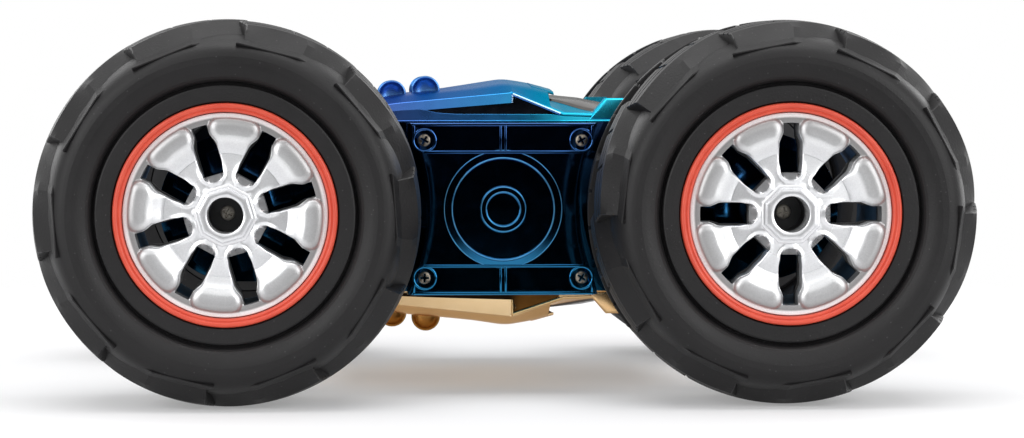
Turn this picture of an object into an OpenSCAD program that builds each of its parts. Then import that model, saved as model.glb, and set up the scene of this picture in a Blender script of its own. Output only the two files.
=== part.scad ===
// Double-sided radio controlled stunt car: four large lugged wheels, a geared drive on each side
// and one body shell above and one below. Millimetres, +X forward, +Z up, origin on the ground
// under the middle of the car. The right side of the car is at negative Y.

/* [Wheels] */
// Diameter of a tyre over its lugs
tyre_d = 118; // [112:1:124]
// Width of a tyre
tyre_w = 60; // [56:1:64]
// Height of a lug above the carcass
lug_h = 3.5; // [2.5:0.5:4.5]
// Lugs on each shoulder of a tyre
lug_count = 10; // [8:1:12]
// Turn along the tread that one lug covers, degrees
lug_sweep = 36; // [28:1:37]
// Slant of a lug's blunt ends between the shoulder and the crown, degrees
lug_slant = 6; // [0:1:8]
// Rubber thickness at the crown and shoulder
tyre_wall = 2.5; // [2.2:0.1:4]
// Diameter of the crease between the bead band and the sidewall
crease_d = 79.8; // [76:0.2:84]
// Diameter of the widest part of the sidewall
bulge_d = 92; // [88:1:96]
// Distance between the front and rear axles
wheelbase = 170; // [166:1:178]
// Distance between the middle planes of the left and right tyres
track = 162; // [158:1:170]
// Outside diameter of the coloured bead ring
ring_od = 67.2; // [65:0.2:70]
// Inside diameter of the coloured bead ring
ring_id = 61.6; // [60:0.2:63]
// Axial thickness of the bead ring
ring_t = 4; // [3:0.5:5]
// Outside diameter of the rim barrel that the tyre sits on
barrel_d = 63; // [62.6:0.2:64]
// Wall of the rim barrel
barrel_wall = 2.5; // [2:0.25:3]
// How far the bead ring's front stands inside the tyre's widest part
ring_inset = 2; // [1:0.5:3]
// Width of a slot in the wheel face
slot_w = 6.2; // [5:0.2:7]
// Width of the outer part of a slot, between two pads
slot_neck_w = 4.6; // [4:0.2:5.6]
// Radius where a slot starts
slot_r_in = 12.4; // [11.5:0.2:13]
// Radius where a slot ends
slot_r_out = 27.6; // [27:0.2:28]
// Slots and pads round a wheel face
slot_count = 8; // [6:1:8]
// Thickness of the wheel face
face_t = 2.4; // [2:0.2:3]
// Depth of the pads sunk between the slots
pad_depth = 0.8; // [0.4:0.1:1.2]
// Diameter of the screw well in the hub
hub_bore_d = 10.8; // [9:0.2:12]
// Depth of the screw well in the hub
hub_bore_l = 18; // [14:0.5:20]
// Across flats of the octagonal boss round the screw well
hub_boss_af = 15.2; // [14.6:0.2:16]
// Turn of the rear wheel faces as they stand, degrees
rear_face_turn = 16.4; // [0:0.1:45]
// Turn of the rear tyres as they stand, degrees
rear_tread_turn = 11.2; // [0:0.1:36]

/* [Drive] */
// Teeth of the motor pinion
pinion_teeth = 10; // [9:1:12]
// Teeth of the large gear of a reduction pair
reduction_teeth = 44; // [40:1:46]
// Teeth of the small gear of a reduction pair
small_teeth = 14; // [12:1:16]
// Teeth of an idler gear
idler_teeth = 48; // [46:1:50]
// Teeth of a wheel gear
wheel_teeth = 52; // [48:1:54]
// Width of the pinion and of the large reduction gear
first_gear_w = 4; // [3:0.5:5]
// Width of the small reduction gear, the idler and the wheel gear
second_gear_w = 5; // [4:0.5:6]
// Play between two meshing teeth along the pitch circle
tooth_play = 0.36; // [0.3:0.02:0.5]
// Diameter of a wheel axle
axle_d = 5; // [4:0.5:6]
// Outside diameter of an axle bush
bush_od = 9; // [8:0.5:10]
// Length of an axle bush
bush_l = 5; // [4:0.5:6]
// Diameter of a gear pin
pin_d = 3; // [2.5:0.5:3.5]
// Diameter of a motor can
motor_d = 24; // [22:1:25]
// Length of a motor can
motor_l = 22.4; // [20:0.2:22.6]
// Diameter of a motor shaft
shaft_d = 2; // [1.6:0.2:2.4]
// Across flats of the wheel drive hexagon on an axle
hex_af = 12; // [11:0.5:13]
// Thickness of the wheel drive hexagon
hex_t = 4.5; // [4:0.5:5]

/* [Body] */
// Height of the body between the two shells
body_h = 54; // [52:1:58]
// Distance between the outer faces of the two side covers
body_w = 132; // [128:1:136]
// Length of the straight edges of a side cover, at its top and bottom
pod_l = 60; // [56:1:64]
// Gap between a tyre and the hollowed ends of a side cover
arch_gap = 3; // [2:0.5:5]
// How much closer to the tyre the hollowed ends come at the root of the pod
arch_draft = 2.5; // [0:0.5:3]
// Gap between a tyre's inner face and the gearbox
side_gap = 3; // [2:0.5:4]
// Walls of the gearbox, the pods and the frame
wall = 2; // [1.6:0.2:2.4]
// Thickness of a side cover's plate
cover_t = 2; // [1.6:0.2:2.4]
// Height of the ribs and bosses on a side cover
rib_h = 1.2; // [0.8:0.2:1.6]
// Height of the ribbed strip along a side cover's top and bottom
strip_h = 8.6; // [7:0.2:10]
// Diameter of the round boss on a side cover at its foot
boss_d = 37.2; // [34:0.2:38]
// Diameter of the round boss on a side cover at its top
boss_top_d = 32; // [30:0.2:34]
// Diameter of the small ring in the middle of the round boss
boss_ring_d = 14; // [12:0.2:16]
// Distance between a side cover's screws along the car
screw_dx = 49.4; // [48:0.2:51]
// Distance between a side cover's screws, upright
screw_dz = 43.2; // [42.6:0.2:44.4]
// Diameter of a side cover screw's shank
screw_d = 2.6; // [2.2:0.2:3]
// Diameter of a side cover screw's head
screw_head_d = 4.4; // [4:0.2:5]
// Diameter of the axle housing that reaches into a wheel
housing_d = 38.6; // [34:0.2:42]
// Length of the middle block of a gearbox
block_l = 112; // [108:1:118]
// Length of the centre frame
frame_l = 124; // [122:1:130]

/* [Shells] */
// Width of a shell
shell_w = 90; // [86:1:94]
// Wall of a shell
shell_wall = 1.6; // [1.2:0.2:2]
// Front end of a shell
shell_front = 55; // [50:1:56]
// Rear end of a shell
shell_rear = 55; // [50:1:56]
// Height of the roof's highest point above the body
roof_h = 14; // [13:0.5:16]
// Width of the roof
roof_w = 56; // [50:1:60]
// Where the roof is highest, forward of the middle
roof_x = 2.5; // [0:0.5:5]
// Where the roof ends in a lip over the hood
lip_x = 18.5; // [17:0.5:21]
// Height of the lip
lip_h = 10.8; // [10:0.2:12]
// Height of the hood just in front of the lip
hood_h = 8; // [7:0.2:9]
// Width of the hood
hood_w = 40; // [36:1:44]
// Height of the shell's two ends
end_h = 2; // [1.6:0.2:3]
// Height of the upright side wall over the rear of the window
side_rear_h = 6; // [5.4:0.2:6.4]
// Height of the upright side wall at the window's upper corner
side_top_h = 9.4; // [8.6:0.2:10]
// Height of the upright side wall ahead of the window
side_front_h = 2.6; // [2.4:0.2:3]
// Thickness of a window panel
window_t = 0.8; // [0.6:0.1:1]
// Diameter of an intake pipe
pipe_d = 9.4; // [8.6:0.2:10]
// Length of an intake pipe across the shell
pipe_l = 44; // [40:1:48]
// Distance between the two intake pipes
pipe_pitch = 11; // [10.4:0.2:12]
// Where the rear intake pipe stands, behind the middle
pipe_x = 34.4; // [33:0.2:36]

/* [Electrics] */
// Length of the battery pack
battery_l = 52; // [48:1:54]
// Width of the battery pack
battery_w = 33; // [30:1:34]
// Height of the battery pack
battery_h = 17; // [15:1:18]
// Thickness of the circuit board
board_t = 1.6; // [1.2:0.2:2]
// Length of the circuit board
board_l = 78; // [74:1:80]
// Width of the circuit board
board_w = 48; // [47:1:50]
// Travel of the power switch
switch_travel = 4; // [3:0.5:5]
// Width of the switch knob
knob_w = 3; // [2.5:0.5:4]
// Height of the switch knob
knob_h = 2.6; // [2.2:0.2:3]
// How far the switch knob stands out of the frame
knob_out = 1.6; // [1.2:0.2:2]
// Radius of the battery door's hinge barrel
hinge_r = 1.6; // [1.4:0.1:1.8]

/* [Clearances] */
// Radial clearance of a shaft that turns in a hole
run_fit = 0.05; // [0.02:0.01:0.1]
// Clearance between fixed pieces that slide together
seat_fit = 0.1; // [0.05:0.05:0.2]
// Clearance between a turning gear and what stands beside it
gear_gap = 0.6; // [0.4:0.1:0.8]
// Gap round the battery door and the switch knob
door_gap = 0.4; // [0.3:0.1:0.5]

/* [Hidden] */
$fn = 96;
axle_z = tyre_d / 2;
axle_x = wheelbase / 2;
tyre_y = track / 2;
half_w = tyre_w / 2;
half_h = body_h / 2;

// Depths are distances from the car's middle plane, towards either side
cover_y = body_w / 2;
plate_y = cover_y - cover_t;
case_y = tyre_y - half_w - side_gap;
second_y1 = case_y - wall - gear_gap;
second_y0 = second_y1 - second_gear_w;
first_y1 = second_y0 - gear_gap;
first_y0 = first_y1 - first_gear_w;
lid_y1 = first_y0 - gear_gap;
lid_y0 = lid_y1 - wall;

// Gears: one module for the whole train, so that it spans half the wheelbase exactly
train_teeth = pinion_teeth + reduction_teeth + small_teeth + 2 * idler_teeth + wheel_teeth;
gear_module = wheelbase / train_teeth;
reduction_x = gear_module * (pinion_teeth + reduction_teeth) / 2;
idler_x = reduction_x + gear_module * (small_teeth + idler_teeth) / 2;
pressure_angle = 25;
addendum = 0.8 * gear_module;
dedendum = 1.1 * gear_module;
wheel_gear_tip = gear_module * wheel_teeth / 2 + addendum;
cavity_r = wheel_gear_tip + gear_gap;
case_r = cavity_r + wall;

// Wheel radii and places along the wheel's axis, counted outwards from the tyre's middle plane
ring_y = half_w - ring_inset;
ring_ro = ring_od / 2;
ring_ri = ring_id / 2;
barrel_r_out = barrel_d / 2;
barrel_r_in = barrel_r_out - barrel_wall;
bead_r = barrel_r_out + seat_fit;
ring_back = ring_y - ring_t;
bead_l = 6;
band_y = ring_y - 1;
crease_r = crease_d / 2;
crease_w = 0.7;
crease_depth = 0.8;
bulge_r = bulge_d / 2;
crown_r = tyre_d / 2 - lug_h;
crown_power = 2.8;
well_floor = ring_y - hub_bore_l;
floor_t = 3;
axle_end = well_floor - floor_t;
hub_back = axle_end - 12;
hub_r = 9;
housing_y = tyre_y + hub_back - 1;
web_y = ring_back - face_t - 3.4;
web_t = 2.4;
seam_r = 18.5;
pad_r_in = 20.6;
pad_r_out = 29.4;
pad_half = 5.6;
pad_corner = 2.4;

// Intake pipes stand half sunk in the roof
pipe_r = pipe_d / 2;
pipe_places = [[-pipe_x, side_rear_h + 2.8], [-pipe_x + pipe_pitch, side_rear_h + 4.2]];

// Frame, battery and switch
frame_x = frame_l / 2;
floor_z = -half_h + wall;
post_r = screw_d / 2 + 1.7;
board_z = 8;
battery_x = -frame_x + wall + 1.2;
hinge_z = floor_z + 2.6;
door_w = battery_w + 3;
door_h = battery_h + 1;
hinge_pin_r = 0.6;
hinge_pin_l = 1.6;
hinge_half = door_w / 2 + door_gap + hinge_pin_l;
switch_z = board_z + board_t + 2.4;
switch_gap = 0.15;
flange_t = 0.8;

ENDS = ["front", "rear"];
SIDES = ["right", "left"];
CORNERS = [for (e = ENDS) for (s = SIDES) str(e, "_", s)];
WHEEL_PIECES = ["tyre", "rim", "wheel_face", "bead_ring", "axle", "wheel_gear", "hub_screw"];
SIDE_PIECES = ["gearbox_case", "gearbox_lid", "side_cover", "motor", "motor_pinion"];
GEAR_PIECES = ["reduction_gear", "idler_gear"];
CENTRE_PIECES = ["axle_bushes", "gear_pins", "side_cover_screws", "centre_frame", "battery_pack",
    "battery_door", "circuit_board", "power_switch"];
SHELL_PIECES = ["shell", "windows", "intake_pipes"];
LEVELS = ["upper", "lower"];

// Placing: shapes are drawn for the right side, round the axle height, and mirrored for the left
module at_side(side) {
    translate([0, 0, axle_z])
        mirror([0, side == "left" ? 1 : 0, 0])
            children();
}

module at_wheel(end, side) {
    at_side(side)
        translate([end == "front" ? axle_x : -axle_x, 0, 0])
            children();
}

// An X-Z outline between two depths from the car's middle plane
module slab(y0, y1) {
    translate([0, -y0, 0])
        rotate([90, 0, 0])
            linear_extrude(y1 - y0)
                children();
}

module rod(r, y0, y1) {
    slab(y0, y1)
        circle(r);
}

// A solid of revolution from points of [radius, depth]
module turned(points) {
    rotate([90, 0, 0])
        rotate_extrude()
            polygon(points);
}

module box(low, high) {
    translate(low)
        cube(high - low);
}

// Tyres: the carcass is a superellipse from the widest part of the sidewall to the crown
function carcass_r(t) = bulge_r + (crown_r - bulge_r) * pow(sin(t), 2 / crown_power);
function carcass_y(t) = half_w * pow(cos(t), 2 / crown_power);
function carcass_normal(t) =
    let (dr = pow(sin(t), 2 - 2 / crown_power) / (crown_r - bulge_r))
    let (dy = pow(cos(t), 2 - 2 / crown_power) / half_w)
    [dr, dy] / norm([dr, dy]);

// Points across the tyre: v is 0 at the crown's middle and 1 low on the shoulder
function shoulder_angle(v) = 90 - 80 * v;
function lug_point(v, rise) =
    let (t = shoulder_angle(v))
    [carcass_r(t), carcass_y(t)] + rise * carcass_normal(t);
function lug_edges(s) =
    let (outer = 1 - 0.78 * pow(s, 2.2), inner = 0.24 * (1 - s) + 0.02)
    let (crest = outer - 0.25 * (1 - s) - 0.05)
    [
        [outer, -lug_root],
        [crest, lug_h],
        [(crest + inner) / 2, lug_h],
        [inner, lug_h],
        [inner, -lug_root],
        [(outer + inner) / 2, -lug_root]
    ];
function lug_vertex(edge, s, start, face) =
    let (p = lug_point(edge[0], edge[1]))
    let (a = start + lug_slant * (1 - edge[0]) - lug_sweep * s)
    [p[0] * cos(a), -face * p[1], p[0] * sin(a)];

lug_steps = 6;
lug_root = 1;

module lug(start, face) {
    points = [
        for (k = [0 : lug_steps])
            for (edge = lug_edges(k / lug_steps))
                lug_vertex(edge, k / lug_steps, start, face)
    ];
    sides = [
        for (k = [0 : lug_steps - 1])
            for (j = [0 : 5])
                let (n = (j + 1) % 6, a = 6 * k + j, b = 6 * k + n)
                each [[a, b, a + 6], [b, b + 6, a + 6]]
    ];
    last = 6 * lug_steps;
    head = [for (j = [1 : 4]) [0, j + 1, j]];
    tip = [for (j = [1 : 4]) [last, last + j, last + j + 1]];
    faces = concat(sides, head, tip);
    polyhedron(points, face < 0 ? [for (f = faces) [f[0], f[2], f[1]]] : faces);
}

crown_steps = 8;
tyre_outer = concat(
    [
        [bead_r, ring_back - bead_l],
        [bead_r, ring_back],
        [ring_ro + seat_fit, ring_back],
        [ring_ro + seat_fit, band_y],
        [crease_r - crease_w, band_y],
        [crease_r - crease_w, band_y - crease_depth],
        [crease_r, band_y - crease_depth],
        [crease_r, band_y + 0.6],
        [(crease_r + bulge_r) / 2, half_w - 0.6]
    ],
    [for (k = [0 : crown_steps]) [carcass_r(90 * k / crown_steps), carcass_y(90 * k / crown_steps)]]
);
tyre_inner = [
    [crown_r - tyre_wall, 0],
    [crown_r - tyre_wall, half_w * 0.5],
    [bulge_r, half_w - tyre_wall],
    [crease_r, band_y - tyre_wall - crease_depth],
    [bead_r + tyre_wall, ring_back - bead_l]
];

function flipped(points) = [for (k = [len(points) - 1 : -1 : 0]) [points[k][0], -points[k][1]]];

module tyre(end, side) {
    turn = end == "rear" ? rear_tread_turn : 0;
    pitch = 360 / lug_count;
    color("#26272a")
        at_wheel(end, side)
            translate([0, -tyre_y, 0]) {
                turned(concat(tyre_outer, flipped(tyre_outer), flipped(tyre_inner), tyre_inner));
                for (k = [0 : lug_count - 1]) {
                    lug(turn + k * pitch, 1);
                    lug(turn + (k + 0.5) * pitch, -1);
                }
            }
}

// Wheels: a black rim with its hub, a bright face on it and a coloured ring that holds the bead
rim_profile = [
    [0, web_y],
    [barrel_r_in, web_y],
    [barrel_r_in, ring_back],
    [barrel_r_out, ring_back],
    [barrel_r_out, -ring_back],
    [ring_ro, -ring_back],
    [ring_ro, -band_y],
    [barrel_r_in, -band_y],
    [barrel_r_in, web_y - web_t],
    [hub_r, web_y - web_t],
    [hub_r, hub_back],
    [0, hub_back]
];

module slot_outline() {
    polygon([
        [slot_r_in, -slot_w / 2],
        [pad_r_in, -slot_w / 2],
        [pad_r_in + 3, -slot_neck_w / 2],
        [slot_r_out, -slot_neck_w / 2],
        [slot_r_out, slot_neck_w / 2],
        [pad_r_in + 3, slot_neck_w / 2],
        [pad_r_in, slot_w / 2],
        [slot_r_in, slot_w / 2]
    ]);
}

module slots() {
    for (k = [0 : slot_count - 1])
        rotate(k * 360 / slot_count)
            slot_outline();
}

module rim(end, side) {
    turn = end == "rear" ? rear_face_turn : 0;
    color("#17181a")
        at_wheel(end, side)
            translate([0, -tyre_y, 0])
                difference() {
                    turned(rim_profile);
                    rod(hub_bore_d / 2, well_floor, ring_y);
                    rod(hub_head_r + seat_fit, screw_seat, ring_y);
                    rod(screw_hole_r, axle_end - 1, ring_y);
                    rod(axle_d / 2 + seat_fit / 2, hub_back - 1, axle_end);
                    slab(hub_back - 1, hub_back + hex_t)
                        circle(hex_r + seat_fit, $fn = 6);
                    slab(web_y - web_t - 1, web_y + 1)
                        rotate(turn)
                            slots();
                }
}

screw_hole_r = 1.6;
hub_screw_r = 1.45;
hub_head_r = 2.2;
hub_head_t = 1.8;
hub_screw_l = 12;
screw_seat = well_floor - hub_head_t - seat_fit;
hex_r = hex_af / 2 / cos(30);

// The face: a boss, a cone round it, a seam and eight pads between the slots
face_profile = [
    [hub_bore_d / 2, web_y],
    [hub_bore_d / 2, ring_y],
    [hub_boss_af / 2, ring_y],
    [hub_boss_af / 2 + 1.6, ring_back + 1],
    [seam_r, ring_back],
    [seam_r, ring_back + 0.8],
    [ring_ri - seat_fit - 2, ring_y - 1.6],
    [ring_ri - seat_fit - 1.4, ring_y - 0.6],
    [ring_ri - seat_fit, ring_y - 0.6],
    [ring_ri - seat_fit, ring_back],
    [barrel_r_in - seat_fit, ring_back],
    [barrel_r_in - seat_fit, web_y]
];

module pad_outline() {
    translate([pad_r_out - pad_corner, pad_half - pad_corner + 1])
        circle(pad_corner);
    translate([pad_r_out - pad_corner, -pad_half + pad_corner - 1])
        circle(pad_corner);
    polygon([
        [pad_r_in, -pad_half / 2],
        [pad_r_out - pad_corner, -pad_half - 1],
        [pad_r_out - pad_corner, pad_half + 1],
        [pad_r_in, pad_half / 2]
    ]);
    translate([pad_r_out - 2 * pad_corner, -pad_half + pad_corner - 1])
        square([2 * pad_corner, 2 * (pad_half - pad_corner + 1)]);
}

module wheel_face(end, side) {
    turn = end == "rear" ? rear_face_turn : 0;
    color("#c9ccd0")
        at_wheel(end, side)
            translate([0, -tyre_y, 0])
                difference() {
                    turned(face_profile);
                    slab(web_y - 1, ring_y + 1)
                        rotate(turn)
                            slots();
                    slab(ring_y - 1.6 - pad_depth - 0.6, ring_y + 1)
                        for (k = [0 : slot_count - 1])
                            rotate(turn + (k + 0.5) * 360 / slot_count)
                                pad_outline();
                }
}

module bead_ring(end, side) {
    color("#e5402c")
        at_wheel(end, side)
            translate([0, -tyre_y, 0])
                turned([
                    [ring_ri, ring_back],
                    [ring_ri, ring_y - 0.8],
                    [ring_ri + 0.8, ring_y],
                    [ring_ro - 0.8, ring_y],
                    [ring_ro, ring_y - 0.8],
                    [ring_ro, ring_back]
                ]);
}

inner_bush_y = lid_y0 - 3;

module axle(end, side) {
    color("#9a9da1")
        at_wheel(end, side)
            difference() {
                union() {
                    rod(axle_d / 2, inner_bush_y, tyre_y + axle_end);
                    rod(axle_d / 2 + 1.5, first_y0, second_y0 - seat_fit);
                    slab(tyre_y + hub_back, tyre_y + hub_back + hex_t - seat_fit)
                        circle(hex_r, $fn = 6);
                }
                rod(hub_screw_r + run_fit, tyre_y + axle_end - hub_screw_l, tyre_y + axle_end + 1);
            }
}

module hub_screw(end, side) {
    color("#4a4c50")
        at_wheel(end, side)
            translate([0, -tyre_y, 0])
                difference() {
                    union() {
                        rod(hub_screw_r, screw_seat - hub_screw_l, screw_seat);
                        rod(hub_head_r, screw_seat, screw_seat + hub_head_t);
                    }
                    slab(screw_seat + hub_head_t - 0.9, screw_seat + hub_head_t + 1)
                        cross_outline(2 * hub_head_r - 1.8, cross_w);
                }
}

cross_w = 0.6;

module cross_outline(length, width) {
    square([length, width], center = true);
    square([width, length], center = true);
}

// Gears: involute teeth in the X-Z plane
function involute(a) = tan(a) * 180 / PI - a;
function tooth_half(teeth, r) =
    let (pitch_r = gear_module * teeth / 2, base_r = pitch_r * cos(pressure_angle))
    let (thick = (PI * gear_module - tooth_play) / 2)
    let (a = acos(base_r / max(r, base_r)))
    thick / (2 * pitch_r) * 180 / PI + involute(pressure_angle) - involute(a);

module gear_outline(teeth, turn) {
    pitch_r = gear_module * teeth / 2;
    root_r = pitch_r - dedendum;
    flank = [root_r, max(root_r + 0.01, pitch_r - 0.4 * dedendum), pitch_r, pitch_r + addendum];
    polygon([
        for (k = [0 : teeth - 1])
            let (a = turn + k * 360 / teeth)
            each concat(
                [for (r = flank) r * [cos(a - tooth_half(teeth, r)), sin(a - tooth_half(teeth, r))]],
                [for (j = [3 : -1 : 0])
                    let (r = flank[j], b = a + tooth_half(teeth, r))
                    r * [cos(b), sin(b)]]
            )
    ]);
}

// Turn of a gear that meshes with another one, which stands at a given angle from it
function mesh_turn(teeth, other_teeth, other_turn, towards) =
    towards + 180 - (360 / teeth) * (0.5 - (towards - other_turn) * other_teeth / 360);
function heading(end) = end == "front" ? 0 : 180;
function sign_of(end) = end == "front" ? 1 : -1;
function reduction_turn(end) = mesh_turn(reduction_teeth, pinion_teeth, 0, heading(end));
function idler_turn(end) = mesh_turn(idler_teeth, small_teeth, reduction_turn(end), heading(end));
function wheel_turn(end) = mesh_turn(wheel_teeth, idler_teeth, idler_turn(end), heading(end));

module motor_pinion(side) {
    color("#b9a25a")
        at_side(side) {
            slab(first_y0, first_y1)
                gear_outline(pinion_teeth, 0);
            rod(shaft_d / 2, first_y0, plate_y - 4);
        }
}

module reduction_gear(end, side) {
    color("#e8e4d8")
        at_side(side)
            translate([sign_of(end) * reduction_x, 0, 0])
                difference() {
                    union() {
                        slab(first_y0, first_y1)
                            gear_outline(reduction_teeth, reduction_turn(end));
                        slab(first_y1, second_y1)
                            gear_outline(small_teeth, reduction_turn(end));
                    }
                    rod(pin_d / 2 + run_fit, first_y0 - 1, second_y1 + 1);
                }
}

module idler_gear(end, side) {
    color("#e8e4d8")
        at_side(side)
            translate([sign_of(end) * idler_x, 0, 0])
                difference() {
                    slab(second_y0, second_y1)
                        gear_outline(idler_teeth, idler_turn(end));
                    rod(pin_d / 2 + run_fit, second_y0 - 1, second_y1 + 1);
                }
}

module wheel_gear(end, side) {
    color("#e8e4d8")
        at_wheel(end, side)
            difference() {
                slab(second_y0, second_y1)
                    gear_outline(wheel_teeth, wheel_turn(end));
                rod(axle_d / 2 + seat_fit / 2, second_y0 - 1, second_y1 + 1);
            }
}

// Gearbox: a case with its pod and axle housings, closed on the inside by a lid
pin_places = [for (e = ENDS) for (x = [reduction_x, idler_x]) sign_of(e) * x];
screw_places = [for (x = [-1, 1]) for (z = [-1, 1]) [x * screw_dx / 2, z * screw_dz / 2]];
pin_sink = wall * 0.6;
spacer_r = pin_d / 2 + 1.5;
motor_y1 = plate_y - seat_fit;
motor_y0 = motor_y1 - motor_l;
cup_wall = 1.2;
cup_r = motor_d / 2 + seat_fit + cup_wall;
arch_r = tyre_d / 2 + arch_gap;

module stadium(r) {
    square([wheelbase, 2 * r], center = true);
    for (x = [-axle_x, axle_x])
        translate([x, 0])
            circle(r);
}

module gearbox_outline() {
    stadium(case_r);
    square([block_l, body_h], center = true);
}

// The pod between the wheels, with ends hollowed to clear the tyres
module pod(inset, y0, y1) {
    difference() {
        slab(y0, y1)
            square([pod_l - 2 * inset, body_h - 2 * inset], center = true);
        for (x = [-axle_x, axle_x])
            translate([x, 0, 0])
                turned([
                    [0, case_y - 1],
                    [arch_r - arch_draft + inset, case_y - 1],
                    [arch_r + inset, cover_y + 3 * rib_h],
                    [0, cover_y + 3 * rib_h]
                ]);
    }
}

module gearbox_case(side) {
    color("#1b2fae")
        at_side(side)
            difference() {
                union() {
                    difference() {
                        union() {
                            slab(lid_y1, case_y)
                                gearbox_outline();
                            pod(0, case_y - 0.5, plate_y);
                            for (x = [-axle_x, axle_x])
                                translate([x, 0, 0])
                                    rod(housing_d / 2, case_y - 0.5, housing_y);
                        }
                        slab(lid_y1 - 1, case_y - wall)
                            stadium(cavity_r);
                        pod(wall, case_y, plate_y + 1);
                        for (x = [-axle_x, axle_x])
                            translate([x, 0, 0])
                                rod(housing_d / 2 - wall, case_y - wall - 1, housing_y - bush_l);
                    }
                    for (p = screw_places)
                        translate([p[0], 0, p[1]])
                            rod(post_r, lid_y1, plate_y);
                    rod(cup_r, motor_y0 - cup_wall, case_y);
                    for (x = pin_places)
                        translate([x, 0, 0])
                            rod(spacer_r, second_y1 + seat_fit, case_y - wall + 0.5);
                }
                for (p = screw_places)
                    translate([p[0], 0, p[1]])
                        rod(screw_d / 2 + seat_fit, lid_y1 - 1, plate_y + 1);
                rod(motor_d / 2 + seat_fit, motor_y0, case_y + 1);
                rod(nose_r + seat_fit, motor_y0 - cup_wall - 1, motor_y0 + 1);
                for (x = pin_places)
                    translate([x, 0, 0])
                        rod(pin_d / 2 + seat_fit / 2, second_y1 - 1, case_y - wall + pin_sink);
                for (x = [-axle_x, axle_x])
                    translate([x, 0, 0])
                        rod(bush_od / 2 + seat_fit / 2, case_y - wall - 1, housing_y + 1);
            }
}

module gearbox_lid(side) {
    color("#1c1d20")
        at_side(side)
            difference() {
                union() {
                    slab(lid_y0, lid_y1)
                        gearbox_outline();
                    for (x = [-axle_x, axle_x])
                        translate([x, 0, 0])
                            rod(bush_od / 2 + wall, inner_bush_y - wall, lid_y1);
                    for (e = ENDS)
                        translate([sign_of(e) * idler_x, 0, 0])
                            rod(spacer_r, lid_y0, second_y0 - seat_fit);
                }
                for (x = [-axle_x, axle_x])
                    translate([x, 0, 0])
                        rod(bush_od / 2 + seat_fit / 2, inner_bush_y, lid_y1 + 1);
                for (x = pin_places)
                    translate([x, 0, 0])
                        rod(pin_d / 2 + seat_fit / 2, lid_y1 - pin_sink, second_y0 + 1);
                for (p = screw_places)
                    translate([p[0], 0, p[1]])
                        rod(screw_d / 2 + seat_fit, lid_y0 - 1, lid_y1 + 1);
            }
}

module axle_bushes() {
    color("#b08d57")
        for (s = SIDES)
            for (e = ENDS)
                at_wheel(e, s)
                    for (y = [inner_bush_y, housing_y - bush_l])
                        difference() {
                            rod(bush_od / 2, y, y + bush_l);
                            rod(axle_d / 2 + run_fit, y - 1, y + bush_l + 1);
                        }
}

module gear_pins() {
    color("#a9acb0")
        for (s = SIDES)
            at_side(s)
                for (x = pin_places)
                    translate([x, 0, 0])
                        rod(pin_d / 2, lid_y1 - pin_sink, case_y - wall + pin_sink);
}

nose_r = 3.5;
nose_l = 1.1;

module motor(side) {
    color("#8f9296")
        at_side(side)
            difference() {
                union() {
                    rod(motor_d / 2, motor_y0, motor_y1 - 3);
                    rod(motor_d / 2 - 2, motor_y1 - 3, motor_y1);
                    rod(nose_r, motor_y0 - nose_l, motor_y0);
                }
                rod(shaft_d / 2 + run_fit, motor_y0 - nose_l - 1, plate_y - 4 + seat_fit);
            }
}

// Side cover: a plate with ribbed strips, a round boss and four screw seats
counter_d = 2;
counter_r = screw_head_d / 2 + 0.9;
seat_ring_r = counter_r + 0.8;
centre_rib_w = 2.4;
edge_rib_w = 1;

module cover_ribs() {
    strip_z = half_h - strip_h;
    slab(plate_y, cover_y + rib_h)
        intersection() {
            square([pod_l, body_h], center = true);
            union() {
                for (m = [0, 1])
                    mirror([0, m]) {
                        translate([-pod_l / 2, half_h - edge_rib_w])
                            square([pod_l, edge_rib_w]);
                        translate([-pod_l / 2, strip_z - edge_rib_w])
                            square([pod_l, edge_rib_w]);
                        translate([-centre_rib_w / 2, strip_z])
                            square([centre_rib_w, strip_h]);
                    }
            }
        }
}

module side_cover(side) {
    color("#0c1538")
        at_side(side)
            difference() {
                union() {
                    pod(0, plate_y, cover_y);
                    intersection() {
                        cover_ribs();
                        pod(0, plate_y, cover_y + rib_h);
                    }
                    turned([
                        [0, plate_y],
                        [boss_d / 2, plate_y],
                        [boss_d / 2, cover_y],
                        [boss_top_d / 2, cover_y + rib_h],
                        [boss_ring_d / 2, cover_y + rib_h],
                        [boss_ring_d / 2, cover_y + 2 * rib_h],
                        [boss_ring_d / 2 - 1.6, cover_y + 2 * rib_h],
                        [boss_ring_d / 2 - 1.6, cover_y + rib_h],
                        [0, cover_y + rib_h]
                    ]);
                    for (p = screw_places)
                        translate([p[0], 0, p[1]])
                            rod(seat_ring_r, plate_y, cover_y + rib_h);
                }
                for (p = screw_places)
                    translate([p[0], 0, p[1]]) {
                        rod(counter_r, cover_y + rib_h - counter_d, cover_y + rib_h + 1);
                        rod(screw_d / 2 + seat_fit, plate_y - 1, cover_y + rib_h);
                    }
            }
}

screw_seat_y = cover_y + rib_h - counter_d;
screw_head_t = 1.5;
screw_tip_y = lid_y0 - 8;

module side_cover_screws() {
    color("#6c6f74")
        for (s = SIDES)
            at_side(s)
                for (p = screw_places)
                    translate([p[0], 0, p[1]])
                        difference() {
                            union() {
                                rod(screw_d / 2, screw_tip_y, screw_seat_y);
                                rod(screw_head_d / 2, screw_seat_y, screw_seat_y + screw_head_t);
                            }
                            slab(screw_seat_y + screw_head_t - 0.8, screw_seat_y + screw_head_t + 1)
                                rotate(p[0] + 2 * p[1])
                                    cross_outline(screw_head_d - 1.6, cross_w);
                        }
}

// Centre frame: an open tub that carries both gearboxes, the battery and the circuit board
board_x = -frame_x + wall + 3.4 + board_l / 2;
board_post_r = 2.2;
board_posts = [for (x = [-1, 1]) for (y = [-1, 1])
    [board_x + x * (board_l / 2 - 4), y * (board_w / 2 - 2.6)]];
door_x = -frame_x + wall / 2;

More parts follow.
